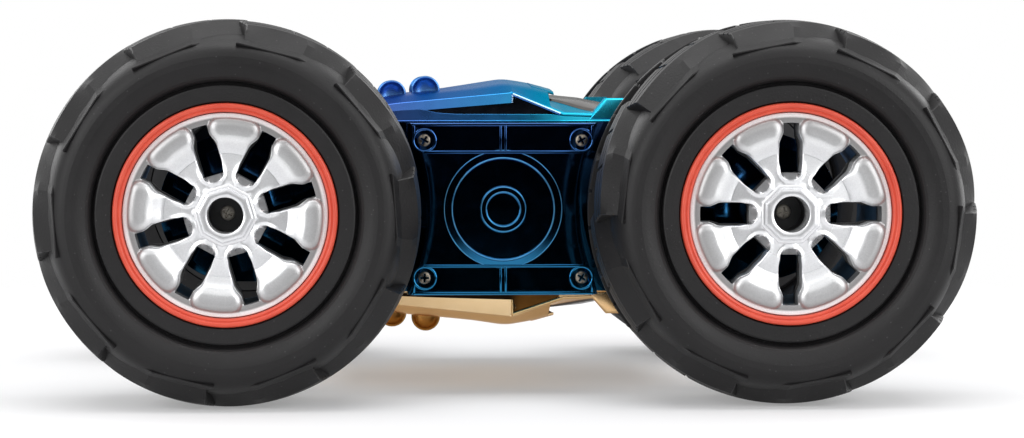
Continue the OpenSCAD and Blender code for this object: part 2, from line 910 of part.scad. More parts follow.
module centre_frame() {
    color("#1c1d20")
        translate([0, 0, axle_z])
            difference() {
                union() {
                    difference() {
                        box([-frame_x, -lid_y0, -half_h], [frame_x, lid_y0, half_h]);
                        box([-frame_x + wall, -lid_y0 + wall, floor_z],
                            [frame_x - wall, lid_y0 - wall, half_h + 1]);
                    }
                    for (m = [0, 1])
                        mirror([0, m, 0])
                            for (p = screw_places)
                                translate([p[0], 0, p[1]])
                                    rod(post_r, screw_tip_y - 1, lid_y0 - wall + 0.5);
                    for (p = board_posts)
                        translate([p[0], p[1], floor_z - 0.5])
                            cylinder(r = board_post_r, h = board_z - floor_z + 0.5);
                    for (y = [-1, 1])
                        translate([battery_x + battery_l / 2, y * (battery_w / 2 + seat_fit + wall / 2), 0])
                            box([-battery_l / 3, -wall / 2, floor_z - 0.5],
                                [battery_l / 3, wall / 2, floor_z + battery_h / 2]);
                }
                for (m = [0, 1])
                    mirror([0, m, 0])
                        for (p = screw_places)
                            translate([p[0], 0, p[1]])
                                rod(screw_d / 2 + seat_fit, screw_tip_y - seat_fit, lid_y0 + 1);
                box([-frame_x - 1, -door_w / 2 - door_gap, hinge_z - hinge_r - door_gap],
                    [-frame_x + wall + 0.5, door_w / 2 + door_gap, hinge_z + door_h + door_gap]);
                translate([door_x, hinge_half + seat_fit, hinge_z])
                    rotate([90, 0, 0])
                        cylinder(r = hinge_pin_r + run_fit, h = 2 * (hinge_half + seat_fit));
                box([-frame_x - 1, -slot_half - door_gap / 2, switch_z - knob_h / 2 - door_gap / 2],
                    [-frame_x + wall + 0.5, slot_half + door_gap / 2, switch_z + knob_h / 2 + door_gap / 2]);
            }
}

slot_half = (knob_w + switch_travel) / 2;

module battery_pack() {
    color("#2f6db5")
        translate([battery_x, -battery_w / 2, axle_z + floor_z])
            cube([battery_l, battery_w, battery_h]);
}

// Battery door: hinged at its lower edge on two pins in the frame's rear wall
grip_w = 12;

module battery_door() {
    color("#232428")
        translate([door_x, 0, axle_z + hinge_z]) {
            rotate([90, 0, 0]) {
                translate([0, 0, -door_w / 2])
                    cylinder(r = hinge_r, h = door_w);
                translate([0, 0, -hinge_half])
                    cylinder(r = hinge_pin_r, h = 2 * hinge_half);
            }
            difference() {
                box([-wall / 2, -door_w / 2, 0], [wall / 2, door_w / 2, door_h]);
                box([-wall / 2 - 1, -grip_w / 2, door_h - 2.4], [-wall / 2 + 0.8, grip_w / 2, door_h - 0.8]);
            }
        }
}

switch_body_x = -frame_x + wall + 2 * switch_gap + flange_t;
switch_body_l = 5;
solder_z = board_z + board_t - 0.2;
chip_l = 16;
chip_h = 2.4;
capacitor_x = [12, 22, 30];
capacitor_y = 10;
capacitor_r = 3.4;
capacitor_h = 8;

module circuit_board() {
    color("#1f6b3a")
        translate([0, 0, axle_z]) {
            box([board_x - board_l / 2, -board_w / 2, board_z],
                [board_x + board_l / 2, board_w / 2, board_z + board_t]);
            box([switch_body_x, -slot_half - 1, solder_z],
                [switch_body_x + switch_body_l, slot_half + 1, switch_z + knob_h / 2 + 0.6]);
            box([board_x - chip_l, -chip_l / 2, solder_z],
                [board_x, chip_l / 2, solder_z + chip_h]);
            for (x = capacitor_x)
                translate([board_x + x, capacitor_y - x / 2, solder_z])
                    cylinder(r = capacitor_r, h = capacitor_h);
        }
}

module power_switch() {
    flange_x = -frame_x + wall + switch_gap;
    color("#c8c8c8")
        translate([0, -slot_half, axle_z + switch_z]) {
            box([-frame_x - knob_out, 0, -knob_h / 2], [flange_x, knob_w, knob_h / 2]);
            box([flange_x, -flange_t, -knob_h / 2 - flange_t],
                [flange_x + flange_t, knob_w + flange_t, knob_h / 2 + flange_t]);
        }
}

// Shells: sections along the car, each a half outline of [side, height], mirrored over the middle
tail_x = -46;
flare_rear_x = -44;
side_rear_x = -pipe_x + 2.4;
rear_roof_x = -18;
corner_x = roof_x + 1.5;
brow_x = (roof_x + lip_x) / 2;
lip_t = 0.8;
window_front_x = lip_x + 2;
window_rear_x = -24;
hood_x = 28;
nose_x = 39;
flare_front_x = 42;
roof_line = [
    [-shell_rear, end_h],
    [tail_x, side_rear_h],
    [-pipe_x, side_rear_h + 2.2],
    [rear_roof_x, lip_h - 0.2],
    [roof_x, roof_h],
    [brow_x, roof_h - 1.2],
    [lip_x, lip_h],
    [lip_x + lip_t, hood_h],
    [hood_x, hood_h - 0.8],
    [nose_x, hood_h - 3],
    [shell_front, end_h]
];
side_line = [
    [-shell_rear, end_h - 0.4],
    [tail_x, side_rear_h - 1.6],
    [side_rear_x, side_rear_h],
    [corner_x, side_top_h],
    [window_front_x, side_front_h],
    [shell_front, end_h - 0.4]
];
half_side_line = [
    [-shell_rear, shell_w / 2 - 6],
    [flare_rear_x, shell_w / 2],
    [flare_front_x, shell_w / 2],
    [shell_front, shell_w / 2 - 8]
];
half_roof_line = [
    [-shell_rear, roof_w / 2],
    [lip_x, roof_w / 2],
    [lip_x + lip_t, hood_w / 2],
    [shell_front, hood_w / 2]
];
shell_stations = [
    -shell_rear, tail_x, flare_rear_x, -pipe_x, side_rear_x, rear_roof_x, roof_x, corner_x, brow_x,
    lip_x, lip_x + lip_t, window_front_x, hood_x, nose_x, flare_front_x, shell_front
];
roof_crown = 1.2;

function shell_section(x, inset) =
    let (h = lookup(x, roof_line), s = lookup(x, side_line))
    let (w = lookup(x, half_side_line), r = lookup(x, half_roof_line))
    let (crown = min(roof_crown, (h - s) / 2))
    let (drop = inset > 0 ? -1 : 0)
    let (half = [[w - inset, drop], [w - inset, s - inset], [r, h - crown - inset], [0, h - inset]])
    concat(half, [for (k = [2 : -1 : 0]) [-half[k][0], half[k][1]]]);

module shell_solid(inset) {
    count = len(shell_stations);
    shrink = 1 - inset / shell_front;
    points = [
        for (x = shell_stations)
            for (p = shell_section(x, inset))
                [x * shrink, p[0], p[1] + half_h]
    ];
    sides = [
        for (k = [0 : count - 2])
            for (j = [0 : 6])
                let (n = (j + 1) % 7, a = 7 * k + j, b = 7 * k + n)
                each [[a, a + 7, b], [b, a + 7, b + 7]]
    ];
    rear = [for (j = [1 : 5]) [0, j, j + 1]];
    last = 7 * (count - 1);
    front = [for (j = [1 : 5]) [last, last + j + 1, last + j]];
    polyhedron(points, concat(sides, rear, front));
}

fin_w = 9;
fin_h = 7.8;
fin_lean = 6.5;
fin_top_l = 7;
fin_foot_l = 10;

module shell_fins() {
    for (m = [0, 1])
        mirror([0, m, 0])
            slab(shell_w / 2 - fin_w, shell_w / 2)
                translate([0, half_h])
                    polygon([
                        [hood_x, side_front_h / 5],
                        [hood_x + fin_lean, fin_h],
                        [hood_x + fin_lean + fin_top_l, fin_h],
                        [hood_x + fin_foot_l, side_front_h / 5]
                    ]);
}

// The lower shell is the upper one turned over about the car's length
module at_level(level) {
    translate([0, 0, axle_z])
        rotate([level == "lower" ? 180 : 0, 0, 0])
            children();
}

function shell_colour(level) = level == "lower" ? "#c8992f" : "#1f63c9";

module shell(level) {
    color(shell_colour(level))
        at_level(level)
            difference() {
                union() {
                    shell_solid(0);
                    shell_fins();
                }
                shell_solid(shell_wall);
            }
}

module windows(level) {
    color("#0b0c10")
        at_level(level)
            for (m = [0, 1])
                mirror([0, m, 0])
                    slab(shell_w / 2, shell_w / 2 + window_t)
                        translate([0, half_h])
                            polygon([
                                [window_rear_x, side_rear_h - 2.2],
                                [corner_x, side_top_h - 3.6],
                                [corner_x + 0.8, side_top_h - 0.8],
                                [window_front_x - 0.6, side_front_h],
                                [corner_x + 2.6, side_front_h - 0.4],
                                [rear_roof_x, side_front_h]
                            ]);
}

module intake_pipes(level) {
    color(shell_colour(level))
        at_level(level)
            difference() {
                for (p = pipe_places)
                    translate([p[0], 0, half_h + p[1]])
                        difference() {
                            rod(pipe_r, -pipe_l / 2, pipe_l / 2);
                            for (m = [0, 1])
                                mirror([0, m, 0])
                                    turned([
                                        [0, pipe_l / 2 - 3],
                                        [pipe_r * 0.5, pipe_l / 2 - 3],
                                        [pipe_r - 0.8, pipe_l / 2 + 0.01],
                                        [0, pipe_l / 2 + 0.01]
                                    ]);
                        }
                shell_solid(0);
            }
}

module wheel_piece(piece, end, side) {
    if (piece == "tyre") tyre(end, side);
    if (piece == "rim") rim(end, side);
    if (piece == "wheel_face") wheel_face(end, side);
    if (piece == "bead_ring") bead_ring(end, side);
    if (piece == "axle") axle(end, side);
    if (piece == "wheel_gear") wheel_gear(end, side);
    if (piece == "hub_screw") hub_screw(end, side);
    if (piece == "reduction_gear") reduction_gear(end, side);
    if (piece == "idler_gear") idler_gear(end, side);
}

module side_piece(piece, side) {
    if (piece == "gearbox_case") gearbox_case(side);
    if (piece == "gearbox_lid") gearbox_lid(side);
    if (piece == "side_cover") side_cover(side);
    if (piece == "motor") motor(side);
    if (piece == "motor_pinion") motor_pinion(side);
}

module shell_piece(piece, level) {
    if (piece == "shell") shell(level);
    if (piece == "windows") windows(level);
    if (piece == "intake_pipes") intake_pipes(level);
}

for (e = ENDS)
    for (s = SIDES)
        for (p = concat(WHEEL_PIECES, GEAR_PIECES))
            wheel_piece(p, e, s);
for (s = SIDES)
    for (p = SIDE_PIECES)
        side_piece(p, s);
for (l = LEVELS)
    for (p = SHELL_PIECES)
        shell_piece(p, l);
axle_bushes();
gear_pins();
side_cover_screws();
centre_frame();
battery_pack();
battery_door();
circuit_board();
power_switch();
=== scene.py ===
from math import asin, cos, pi, radians, sin, sqrt

import bmesh
import bpy
import numpy as np
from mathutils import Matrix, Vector


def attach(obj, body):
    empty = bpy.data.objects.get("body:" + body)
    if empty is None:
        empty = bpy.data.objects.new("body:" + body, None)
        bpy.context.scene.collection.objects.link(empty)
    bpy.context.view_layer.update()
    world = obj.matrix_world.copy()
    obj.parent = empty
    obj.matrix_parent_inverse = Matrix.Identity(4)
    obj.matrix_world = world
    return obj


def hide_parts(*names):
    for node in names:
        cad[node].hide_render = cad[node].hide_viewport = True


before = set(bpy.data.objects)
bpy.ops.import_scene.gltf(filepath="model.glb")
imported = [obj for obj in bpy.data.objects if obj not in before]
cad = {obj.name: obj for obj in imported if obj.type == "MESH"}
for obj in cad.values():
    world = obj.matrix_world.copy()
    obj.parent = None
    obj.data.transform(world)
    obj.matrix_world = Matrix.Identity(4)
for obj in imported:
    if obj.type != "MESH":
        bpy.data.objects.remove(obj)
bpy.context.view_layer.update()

scene = bpy.context.scene


# Camera: a long lens a metre off the car's right side, a little behind the middle and
# just above the wheel centres, as the photograph was taken.
camera = bpy.data.objects.new("camera", bpy.data.cameras.new("camera"))
scene.collection.objects.link(camera)
camera.data.sensor_width = 36
camera.data.lens = 103.39
camera.data.clip_start = 0.02
camera.location = (-0.04398, -0.98763, 0.09797)
camera.rotation_euler = (radians(90 - 2.613), 0, radians(-2.906))
scene.camera = camera
scene.view_settings.view_transform = "Standard"


# Studio: a pale acrylic table, lit faintly from below, under large soft lamps in a white room.
# Black flags stand off the car's two sides, out of the camera's sight, so upright mirrors show black.
TABLE_R = 1.1
TABLE_CORNERS = 72
FLAG_EDGES = ((0.40, -0.004), (1.75, -0.004), (1.75, 0.32))
FLAG_STEPS = 16
FLAG_STEP_DEG = 3.5


def linear(hex_colour):
    """The linear colour of an sRGB hex value."""
    parts = [int(hex_colour[k:k + 2], 16) / 255 for k in (1, 3, 5)]
    return [c / 12.92 if c <= 0.04045 else ((c + 0.055) / 1.055) ** 2.4 for c in parts] + [1]


def add(tree, kind, links=(), stops=(), **settings):
    """A node with its settings, which are attributes or inputs, a ramp's stops, and its links.

    A link starts at a socket, or at a node's first output.
    """
    node = tree.nodes.new(kind)
    for key, value in settings.items():
        if hasattr(node, key):
            setattr(node, key, value)
        else:
            node.inputs[key.replace("_", " ")].default_value = value
    if stops:
        elements = node.color_ramp.elements
        while len(elements) < len(stops):
            elements.new(1)
        for element, (place, colour) in zip(elements, stops):
            element.position = place
            element.color = colour if isinstance(colour, list) else [colour] * 3 + [1]
    for socket, source in links:
        start = source.outputs[0] if isinstance(source, bpy.types.Node) else source
        tree.links.new(start, node.inputs[socket])
    return node


def empty_material(name):
    """A new material and its node tree, with no node in it."""
    material = bpy.data.materials.new(name)
    material.use_nodes = True
    material.node_tree.nodes.clear()
    return material, material.node_tree


def grid(columns, rows, round_columns=False, round_rows=False):
    """Faces of a grid of points, in which the last column or row may join the first."""
    return [[a * rows + b, a * rows + (b + 1) % rows,
             (a + 1) % columns * rows + (b + 1) % rows, (a + 1) % columns * rows + b]
            for a in range(columns if round_columns else columns - 1)
            for b in range(rows if round_rows else rows - 1)]


def studio_piece(name, points, faces, material):
    """A piece of the studio, from points in metres."""
    piece = bpy.data.objects.new(name, bpy.data.meshes.new(name))
    piece.data.from_pydata(points, [], faces)
    piece.data.materials.append(material)
    scene.collection.objects.link(piece)
    return piece


table_top, tree = empty_material("lit_white_acrylic_table")
here = add(tree, "ShaderNodeTexCoord").outputs["Object"]
radius = add(tree, "ShaderNodeVectorMath", [(0, here)], operation="LENGTH")
edge = add(tree, "ShaderNodeValToRGB", [("Fac", radius.outputs["Value"])], [(0.34, 0), (0.50, 1)])
acrylic = add(tree, "ShaderNodeBsdfPrincipled", Base_Color=linear("#D4D4D5"), Roughness=0.7,
              Specular_IOR_Level=0.15, Emission_Color=linear("#FFFFFF"), Emission_Strength=0.28)
beyond = add(tree, "ShaderNodeBsdfTransparent")
faded = add(tree, "ShaderNodeMixShader", [(0, edge), (1, acrylic), (2, beyond)])
add(tree, "ShaderNodeOutputMaterial", [("Surface", faded)])
table_angles = [2 * pi * k / TABLE_CORNERS for k in range(TABLE_CORNERS)]
table = studio_piece("table", [(TABLE_R * cos(a), TABLE_R * sin(a), 0) for a in table_angles],
                     [list(range(TABLE_CORNERS))], table_top)

flag_cloth, tree = empty_material("black_flag_cloth")
cloth = add(tree, "ShaderNodeBsdfDiffuse", Color=linear("#0D0D0F"))
add(tree, "ShaderNodeOutputMaterial", [("Surface", cloth)])
flag_points, flag_faces = [], []
for toward in (-90, 90):
    start = len(flag_points)
    for reach, high in FLAG_EDGES:
        for k in range(FLAG_STEPS + 1):
            a = radians(toward + FLAG_STEP_DEG * (k - FLAG_STEPS // 2))
            flag_points.append((reach * cos(a), reach * sin(a), high))
    flag_faces += [[i + start for i in face] for face in grid(len(FLAG_EDGES), FLAG_STEPS + 1)]
flags = studio_piece("flags", flag_points, flag_faces, flag_cloth)
flags.visible_camera = flags.visible_shadow = flags.visible_diffuse = False

scene.world = bpy.data.worlds.new("studio")
scene.world.use_nodes = True
tree = scene.world.node_tree
tree.nodes.clear()
ray = add(tree, "ShaderNodeLightPath")
mirror = add(tree, "ShaderNodeMath", [(0, ray.outputs["Is Glossy Ray"]),
                                      (1, ray.outputs["Is Transmission Ray"])], operation="MAXIMUM")
direct = add(tree, "ShaderNodeMath", [(0, ray.outputs["Is Camera Ray"]), (1, mirror)], operation="MAXIMUM")
seen = add(tree, "ShaderNodeMixRGB", [(0, direct)], Color1=(0.22, 0.22, 0.225, 1), Color2=(1, 1, 1, 1))
sky = add(tree, "ShaderNodeBackground", [("Color", seen)], Strength=1.0)
add(tree, "ShaderNodeOutputWorld", [("Surface", sky)])


def soft_lamp(name, place, target, size, watts):
    """A large flat lamp, turned towards a target."""
    lamp = bpy.data.objects.new(name, bpy.data.lights.new(name, "AREA"))
    lamp.data.shape = "RECTANGLE"
    lamp.data.size, lamp.data.size_y = size
    lamp.data.energy = watts
    lamp.location = place
    lamp.rotation_euler = (Vector(target) - Vector(place)).to_track_quat("-Z", "Y").to_euler()
    scene.collection.objects.link(lamp)


soft_lamp("overhead", (0, -0.12, 1.3), (0, 0, 0), (1.4, 1.0), 13)
for x, y, watts in [(-1, -1, 8), (1, -1, 8), (-1, 1, 7), (1, 1, 7)]:
    soft_lamp("corner", (0.85 * x, 0.95 * y, 0.46), (0, 0, 0.10), (0.8, 0.9), watts)


# Tyres: hollow moulded rubber on the rims, with a smooth sidewall, a bead band behind a fine groove,
# and two rows of ten swept lugs, half a pitch apart. Each lug has a blade of flat facets on the
# shoulder, and two grooves along and two short cuts across its crest.
CORNERS = [(end, side) for end in ("front", "rear") for side in ("right", "left")]
AXLE_X = 85.0
AXLE_Z = 59.0
TYRE_Y = 81.0
HALF_W = 30.0
BULGE_R = 46.0
CROWN_R = 55.5
CROWN_POWER = 2.8
CARCASS_STEPS = 22
TREAD_TURN = {"front": 0.0, "rear": 11.2}
LUG_COUNT = 10
LUG_STEPS = 26
LUG_H = 3.49
LUG_ROOT = -1.2
LUG_SWEEP = 39.0
LUG_SLANT = 6.0
SLANT_END = 0.47
# A lug's lines are (place at its head, shift at its tail), from 0 on the crown to 1 on the shoulder.
OUTER_LINE = (0.85, 0.44)
CREST_LINE = (0.57, 0.31)
INNER_LINE = (0.26, 0.24)
WALL_W = 0.08
LUG_ENDS = (-0.008, 1.01)
END_DROP = 0.35
BLADE_BEND = 0.49
BLADE_TIP = 2.6
BLADE_PROUD = 1.5
LEDGE_SHARE = 0.38
LEDGE_IN = np.array([0.6, 0.7])
BROW_DROP = 0.9
CUTS = (0.40, 0.72)
CUT_L = 0.035
CUT_SLOPE = 0.005
CUT_DEPTH = 1.0
GROOVES = (0.68, 0.38)
GROOVE_HALF_W = (0.03, 0.018)
GROOVE_DEPTH = 0.8
TREAD_SHARP = 9


def car_mesh(name, points, faces, material):
    """A mesh from points in millimetres in the car's frame."""
    mesh = bpy.data.meshes.new(name)
    mesh.from_pydata((np.asarray(points, float) / 1000).tolist(), [], faces)
    mesh.materials.append(material)
    return mesh


def outward(mesh, sharp_deg=32):
    """Merges doubles, turns the faces outwards and sets sharp edges."""
    work = bmesh.new()
    work.from_mesh(mesh)
    bmesh.ops.remove_doubles(work, verts=work.verts, dist=2e-6)
    bmesh.ops.dissolve_degenerate(work, edges=work.edges, dist=1e-6)
    bmesh.ops.recalc_face_normals(work, faces=work.faces)
    work.to_mesh(mesh)
    work.free()
    mesh.shade_smooth()
    mesh.set_sharp_from_angle(angle=radians(sharp_deg))
    return mesh


def joined(parts):
    """Points and faces of several parts as one."""
    points, faces, start = [], [], 0
    for p, f in parts:
        points.extend(np.asarray(p, float).tolist())
        faces.extend([[i + start for i in face] for face in f])
        start += len(p)
    return np.array(points), faces


def end_caps(count, rows):
    """The two end faces of a tube of so many points, with so many in a ring."""
    return [list(range(rows)), [count - 1 - j for j in range(rows)]]


def about_axle(r, depth, angle):
    """A point at a radius and an angle round the Y axis; depth runs outwards along -Y."""
    return r * cos(angle), -depth, r * sin(angle)


def turned(profile, steps=128, closed=True):
    """A profile of (radius, depth) turned round the Y axis."""
    points = [about_axle(r, d, 2 * pi * k / steps) for k in range(steps) for r, d in profile]
    return np.array(points), grid(steps, len(profile), round_columns=True, round_rows=closed)


def round_tree():
    """Geometry nodes that repeat a mesh round the Y axis and weld the copies together."""
    tree = bpy.data.node_groups.new("round_the_axle", "GeometryNodeTree")
    for name, kind in [("Mesh", "NodeSocketGeometry"), ("Count", "NodeSocketInt"),
                       ("Turn", "NodeSocketFloat"), ("Material", "NodeSocketMaterial")]:
        tree.interface.new_socket(name, in_out="INPUT", socket_type=kind)
    tree.interface.new_socket("Mesh", in_out="OUTPUT", socket_type="NodeSocketGeometry")
    given = add(tree, "NodeGroupInput")
    points = add(tree, "GeometryNodePoints", [("Count", given.outputs["Count"])])
    index = add(tree, "GeometryNodeInputIndex")
    step = add(tree, "ShaderNodeMath", [(1, given.outputs["Count"])], operation="DIVIDE")
    step.inputs[0].default_value = -2 * pi
    angle = add(tree, "ShaderNodeMath", [(0, index), (1, step)], operation="MULTIPLY")
    turn = add(tree, "ShaderNodeMath", [(0, angle), (1, given.outputs["Turn"])], operation="SUBTRACT")
    about = add(tree, "ShaderNodeCombineXYZ", [("Y", turn)])
    copies = add(tree, "GeometryNodeInstanceOnPoints",
                 [("Points", points), ("Instance", given.outputs["Mesh"]), ("Rotation", about)])
    real = add(tree, "GeometryNodeRealizeInstances", [(0, copies)])
    welded = add(tree, "GeometryNodeMergeByDistance", [("Geometry", real)], Distance=2e-6)
    painted = add(tree, "GeometryNodeSetMaterial",
                  [("Geometry", welded), ("Material", given.outputs["Material"])])
    add(tree, "NodeGroupOutput", [(0, painted)])
    return tree


def repeated(mesh, tree, **values):
    """The plain mesh that a tree of geometry nodes makes of a mesh."""
    holder = bpy.data.objects.new("holder", mesh)
    scene.collection.objects.link(holder)
    modifier = holder.modifiers.new("repeat", "NODES")
    modifier.node_group = tree
    for item in tree.interface.items_tree:
        if item.in_out == "INPUT" and item.name in values:
            modifier[item.identifier] = values[item.name]
    graph = bpy.context.evaluated_depsgraph_get()
    made = bpy.data.meshes.new_from_object(holder.evaluated_get(graph))
    bpy.data.objects.remove(holder)
    return made


def fitted(mesh, end, side):
    """A wheel mesh, made round the origin for the right side, set on its own axle."""
    points = np.zeros(len(mesh.vertices) * 3)
    mesh.vertices.foreach_get("co", points)
    points = points.reshape(-1, 3)
    flip = 1 if side == "right" else -1
    points[:, 0] += (AXLE_X if end == "front" else -AXLE_X) / 1000
    points[:, 1] = flip * (points[:, 1] - TYRE_Y / 1000)
    points[:, 2] += AXLE_Z / 1000
    mesh.vertices.foreach_set("co", points.ravel())
    mesh.update()
    return mesh


def shown(name, mesh, body, replaced=()):
    """A finished piece that rides on a body, in place of the solids it replaces."""
    piece = bpy.data.objects.new(name, mesh)
    scene.collection.objects.link(piece)
    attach(piece, body)
    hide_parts(*replaced)
    return piece


def scale_of(mm):
    """The scale of a pattern whose cells are so many millimetres wide."""
    return 1000 / mm


round_the_axle = round_tree()

# Carbon-black rubber: dull, with a soft sheen on the shoulders, clouds of tone and specks of dust.
# The grain from the mould is drawn coarser than it is, so that it shows.
tyre_rubber, tree = empty_material("moulded_tyre_rubber")
here = add(tree, "ShaderNodeTexCoord").outputs["Object"]
grain = add(tree, "ShaderNodeTexNoise", [("Vector", here)], Scale=scale_of(0.7143), Detail=3.0)
cloud = add(tree, "ShaderNodeTexNoise", [("Vector", here)], Scale=scale_of(18.18), Detail=5.0,
            Roughness=0.65)
dust = add(tree, "ShaderNodeTexVoronoi", [("Vector", here)], Scale=scale_of(2.381))
speck = add(tree, "ShaderNodeValToRGB", [("Fac", dust.outputs["Distance"])], [(0.07, 1), (0.11, 0)])
tone = add(tree, "ShaderNodeValToRGB", [("Fac", cloud)],
           [(0.3, linear("#100F10")), (0.75, linear("#171617"))])
dusty = add(tree, "ShaderNodeMixRGB", [(0, speck), (1, tone)], Color2=linear("#343334"))
dull = add(tree, "ShaderNodeValToRGB", [("Fac", cloud)], [(0.3, 0.46), (0.75, 0.58)])
bump = add(tree, "ShaderNodeBump", [("Height", grain)], Strength=0.35, Distance=0.0002)
rubber = add(tree, "ShaderNodeBsdfPrincipled",
             [("Base Color", dusty), ("Roughness", dull), ("Normal", bump)],
             IOR=1.52, Specular_IOR_Level=0.28)
add(tree, "ShaderNodeOutputMaterial", [("Surface", rubber)])


def carcass(t):
    """Radius and depth of the rubber under the lugs, from the sidewall at 0 to the crown at pi / 2."""
    s, c = max(sin(t), 0.0), max(cos(t), 0.0)
    return (BULGE_R + (CROWN_R - BULGE_R) * s ** (2 / CROWN_POWER),
            HALF_W * c ** (2 / CROWN_POWER))


def on_carcass(v, rise):
    """A point at v, 0 at the crown's middle and 1 low on the shoulder, lifted off the rubber."""
    t = radians(90 - 80 * v)
    up = np.array([sin(t) ** (2 - 2 / CROWN_POWER) / (CROWN_R - BULGE_R),
                   cos(t) ** (2 - 2 / CROWN_POWER) / HALF_W])
    return np.array(carcass(t)) + rise * up / np.linalg.norm(up)


def lug_section(s, face, cut=0.0, sink=0.0):
    """A section of a lug at s, 0 at its head and 1 at its tail, with a cut or sunk at its ends.

    The blade runs from its root by its foot and a ledge to the brow; the crest has two grooves.
    """
    along = min(max(s, 0.0), 1.0)
    ahead = 1 - along
    outer = OUTER_LINE[0] - OUTER_LINE[1] * along ** 3
    crest = CREST_LINE[0] - CREST_LINE[1] * along ** 1.5
    inner = INNER_LINE[0] - INNER_LINE[1] * along
    wide = crest - WALL_W - inner
    proud = BLADE_PROUD * ahead ** 0.8 - 0.1 - sink
    high, low = LUG_H - sink, LUG_H - max(cut, sink)
    foot, brow = on_carcass(outer, proud), on_carcass(crest, high - BROW_DROP)
    ledge = foot + LEDGE_SHARE * (brow - foot) - LEDGE_IN * ahead ** 0.6
    blade = [(on_carcass(outer, LUG_ROOT), outer), (on_carcass(outer + 0.012, proud - 0.25), outer),
             (foot, outer), (ledge, crest), (brow, crest)]
    mouth, floor = GROOVE_HALF_W
    top = [(0.97, high)]
    for middle, lip in zip(GROOVES, (high, low)):
        top += [(middle + mouth, lip), (middle + floor, low - GROOVE_DEPTH),
                (middle - floor, low - GROOVE_DEPTH), (middle - mouth, low)]
    top += [(0.03, low), (0.008, low - 0.1), (0.0, low - 0.4), (0.0, LUG_ROOT)]
    crown = [(inner + f * wide, rise) for f, rise in top] + [((outer + inner) / 2, LUG_ROOT)]
    points = []
    for (r, d), v in blade + [(on_carcass(v, rise), v) for v, rise in crown]:
        tip = BLADE_TIP * ahead ** 2 if v == outer else 0.0
        slant = LUG_SLANT * max(SLANT_END - v, 0) / SLANT_END
        points.append(about_axle(r, face * d, radians(slant + tip - LUG_SWEEP * s)))
    return np.array(points)


def lug(face):
    """One lug: a blade of two flat facets low on the shoulder, a wall and a grooved crest."""
    rows = [(s, 0.0, END_DROP) for s in LUG_ENDS]
    rows += [(s, 0.0, 0.0) for s in (0.0, BLADE_BEND, 1.0)]
    rows += [(k / LUG_STEPS, 0.0, 0.0) for k in range(1, LUG_STEPS)
             if not any(cut < k / LUG_STEPS < cut + CUT_L for cut in CUTS)]
    for cut in CUTS:
        rows += [(cut, 0.0, 0.0), (cut + CUT_SLOPE, CUT_DEPTH, 0.0),
                 (cut + CUT_L - CUT_SLOPE, CUT_DEPTH, 0.0), (cut + CUT_L, 0.0, 0.0)]
    head, bend, tail = (lug_section(s, face) for s in (0.0, BLADE_BEND, 1.0))
    sections, flat = [], slice(1, 5)
    for s, cut, sink in sorted(rows):
        section = lug_section(s, face, cut, sink)
        if 0 <= s <= BLADE_BEND:
            section[flat] = head[flat] + s / BLADE_BEND * (bend - head)[flat]
        elif BLADE_BEND < s <= 1:
            section[flat] = bend[flat] + (s - BLADE_BEND) / (1 - BLADE_BEND) * (tail - bend)[flat]
        sections.append(section)
    points, ring = np.concatenate(sections), len(sections[0])
    return points, grid(len(sections), ring, round_rows=True) + end_caps(len(points), ring)


side_band = [(31.6, 18.0), (31.6, 23.95), (33.75, 23.95), (33.75, 26.5), (34.1, 27.0),
             (36.5, 27.05), (38.3, 27.0), (38.75, 26.8), (39.0, 26.2), (39.3, 25.3), (39.6, 25.1),
             (39.9, 25.4), (40.05, 26.3), (40.3, 27.0), (40.8, 27.75), (41.5, 28.4), (42.4, 28.95),
             (43.5, 29.45), (44.6, 29.8), (45.6, 29.96)]
half_outside = side_band + [carcass(radians(4 + 86 * k / CARCASS_STEPS))
                            for k in range(CARCASS_STEPS + 1)]
air_space = [(53.0, 0.0), (53.0, 15.0), (46.0, 27.5), (39.9, 23.7), (34.1, 18.0)]
tyre_section = half_outside + [(r, -d) for r, d in reversed(half_outside[:-1])]
tyre_section += [(r, -d) for r, d in reversed(air_space)] + air_space[1:]
carcass_part = turned(tyre_section, steps=180)
lug_rows = [(outward(car_mesh("lug", *lug(face), tyre_rubber)), pitches * 2 * pi / LUG_COUNT)
            for face, pitches in ((1, 0.0), (-1, 0.5))]
for end, side in CORNERS:
    moulding = bmesh.new()
    moulding.from_mesh(outward(car_mesh("carcass", *carcass_part, tyre_rubber)))
    for one_lug, offset in lug_rows:
        moulding.from_mesh(repeated(one_lug, round_the_axle, Count=LUG_COUNT,
                                    Turn=offset + radians(TREAD_TURN[end]), Material=tyre_rubber))
    tyre = bpy.data.meshes.new(f"{end}_{side}_tyre_rubber")
    moulding.to_mesh(tyre)
    moulding.free()
    tyre.materials.append(tyre_rubber)
    outward(fitted(tyre, end, side), TREAD_SHARP)
    shown(tyre.name, tyre, f"{end}_{side}_wheel", [f"{end}_{side}_tyre"])


# Rims: black moulded barrels with the hub and a slotted web, pressed onto the axle's hexagon.
# Their glossy black shows in the slots, so the solids stay and get the plastic.
SMOOTH_DEG = 28
BEVEL_DEG = 40


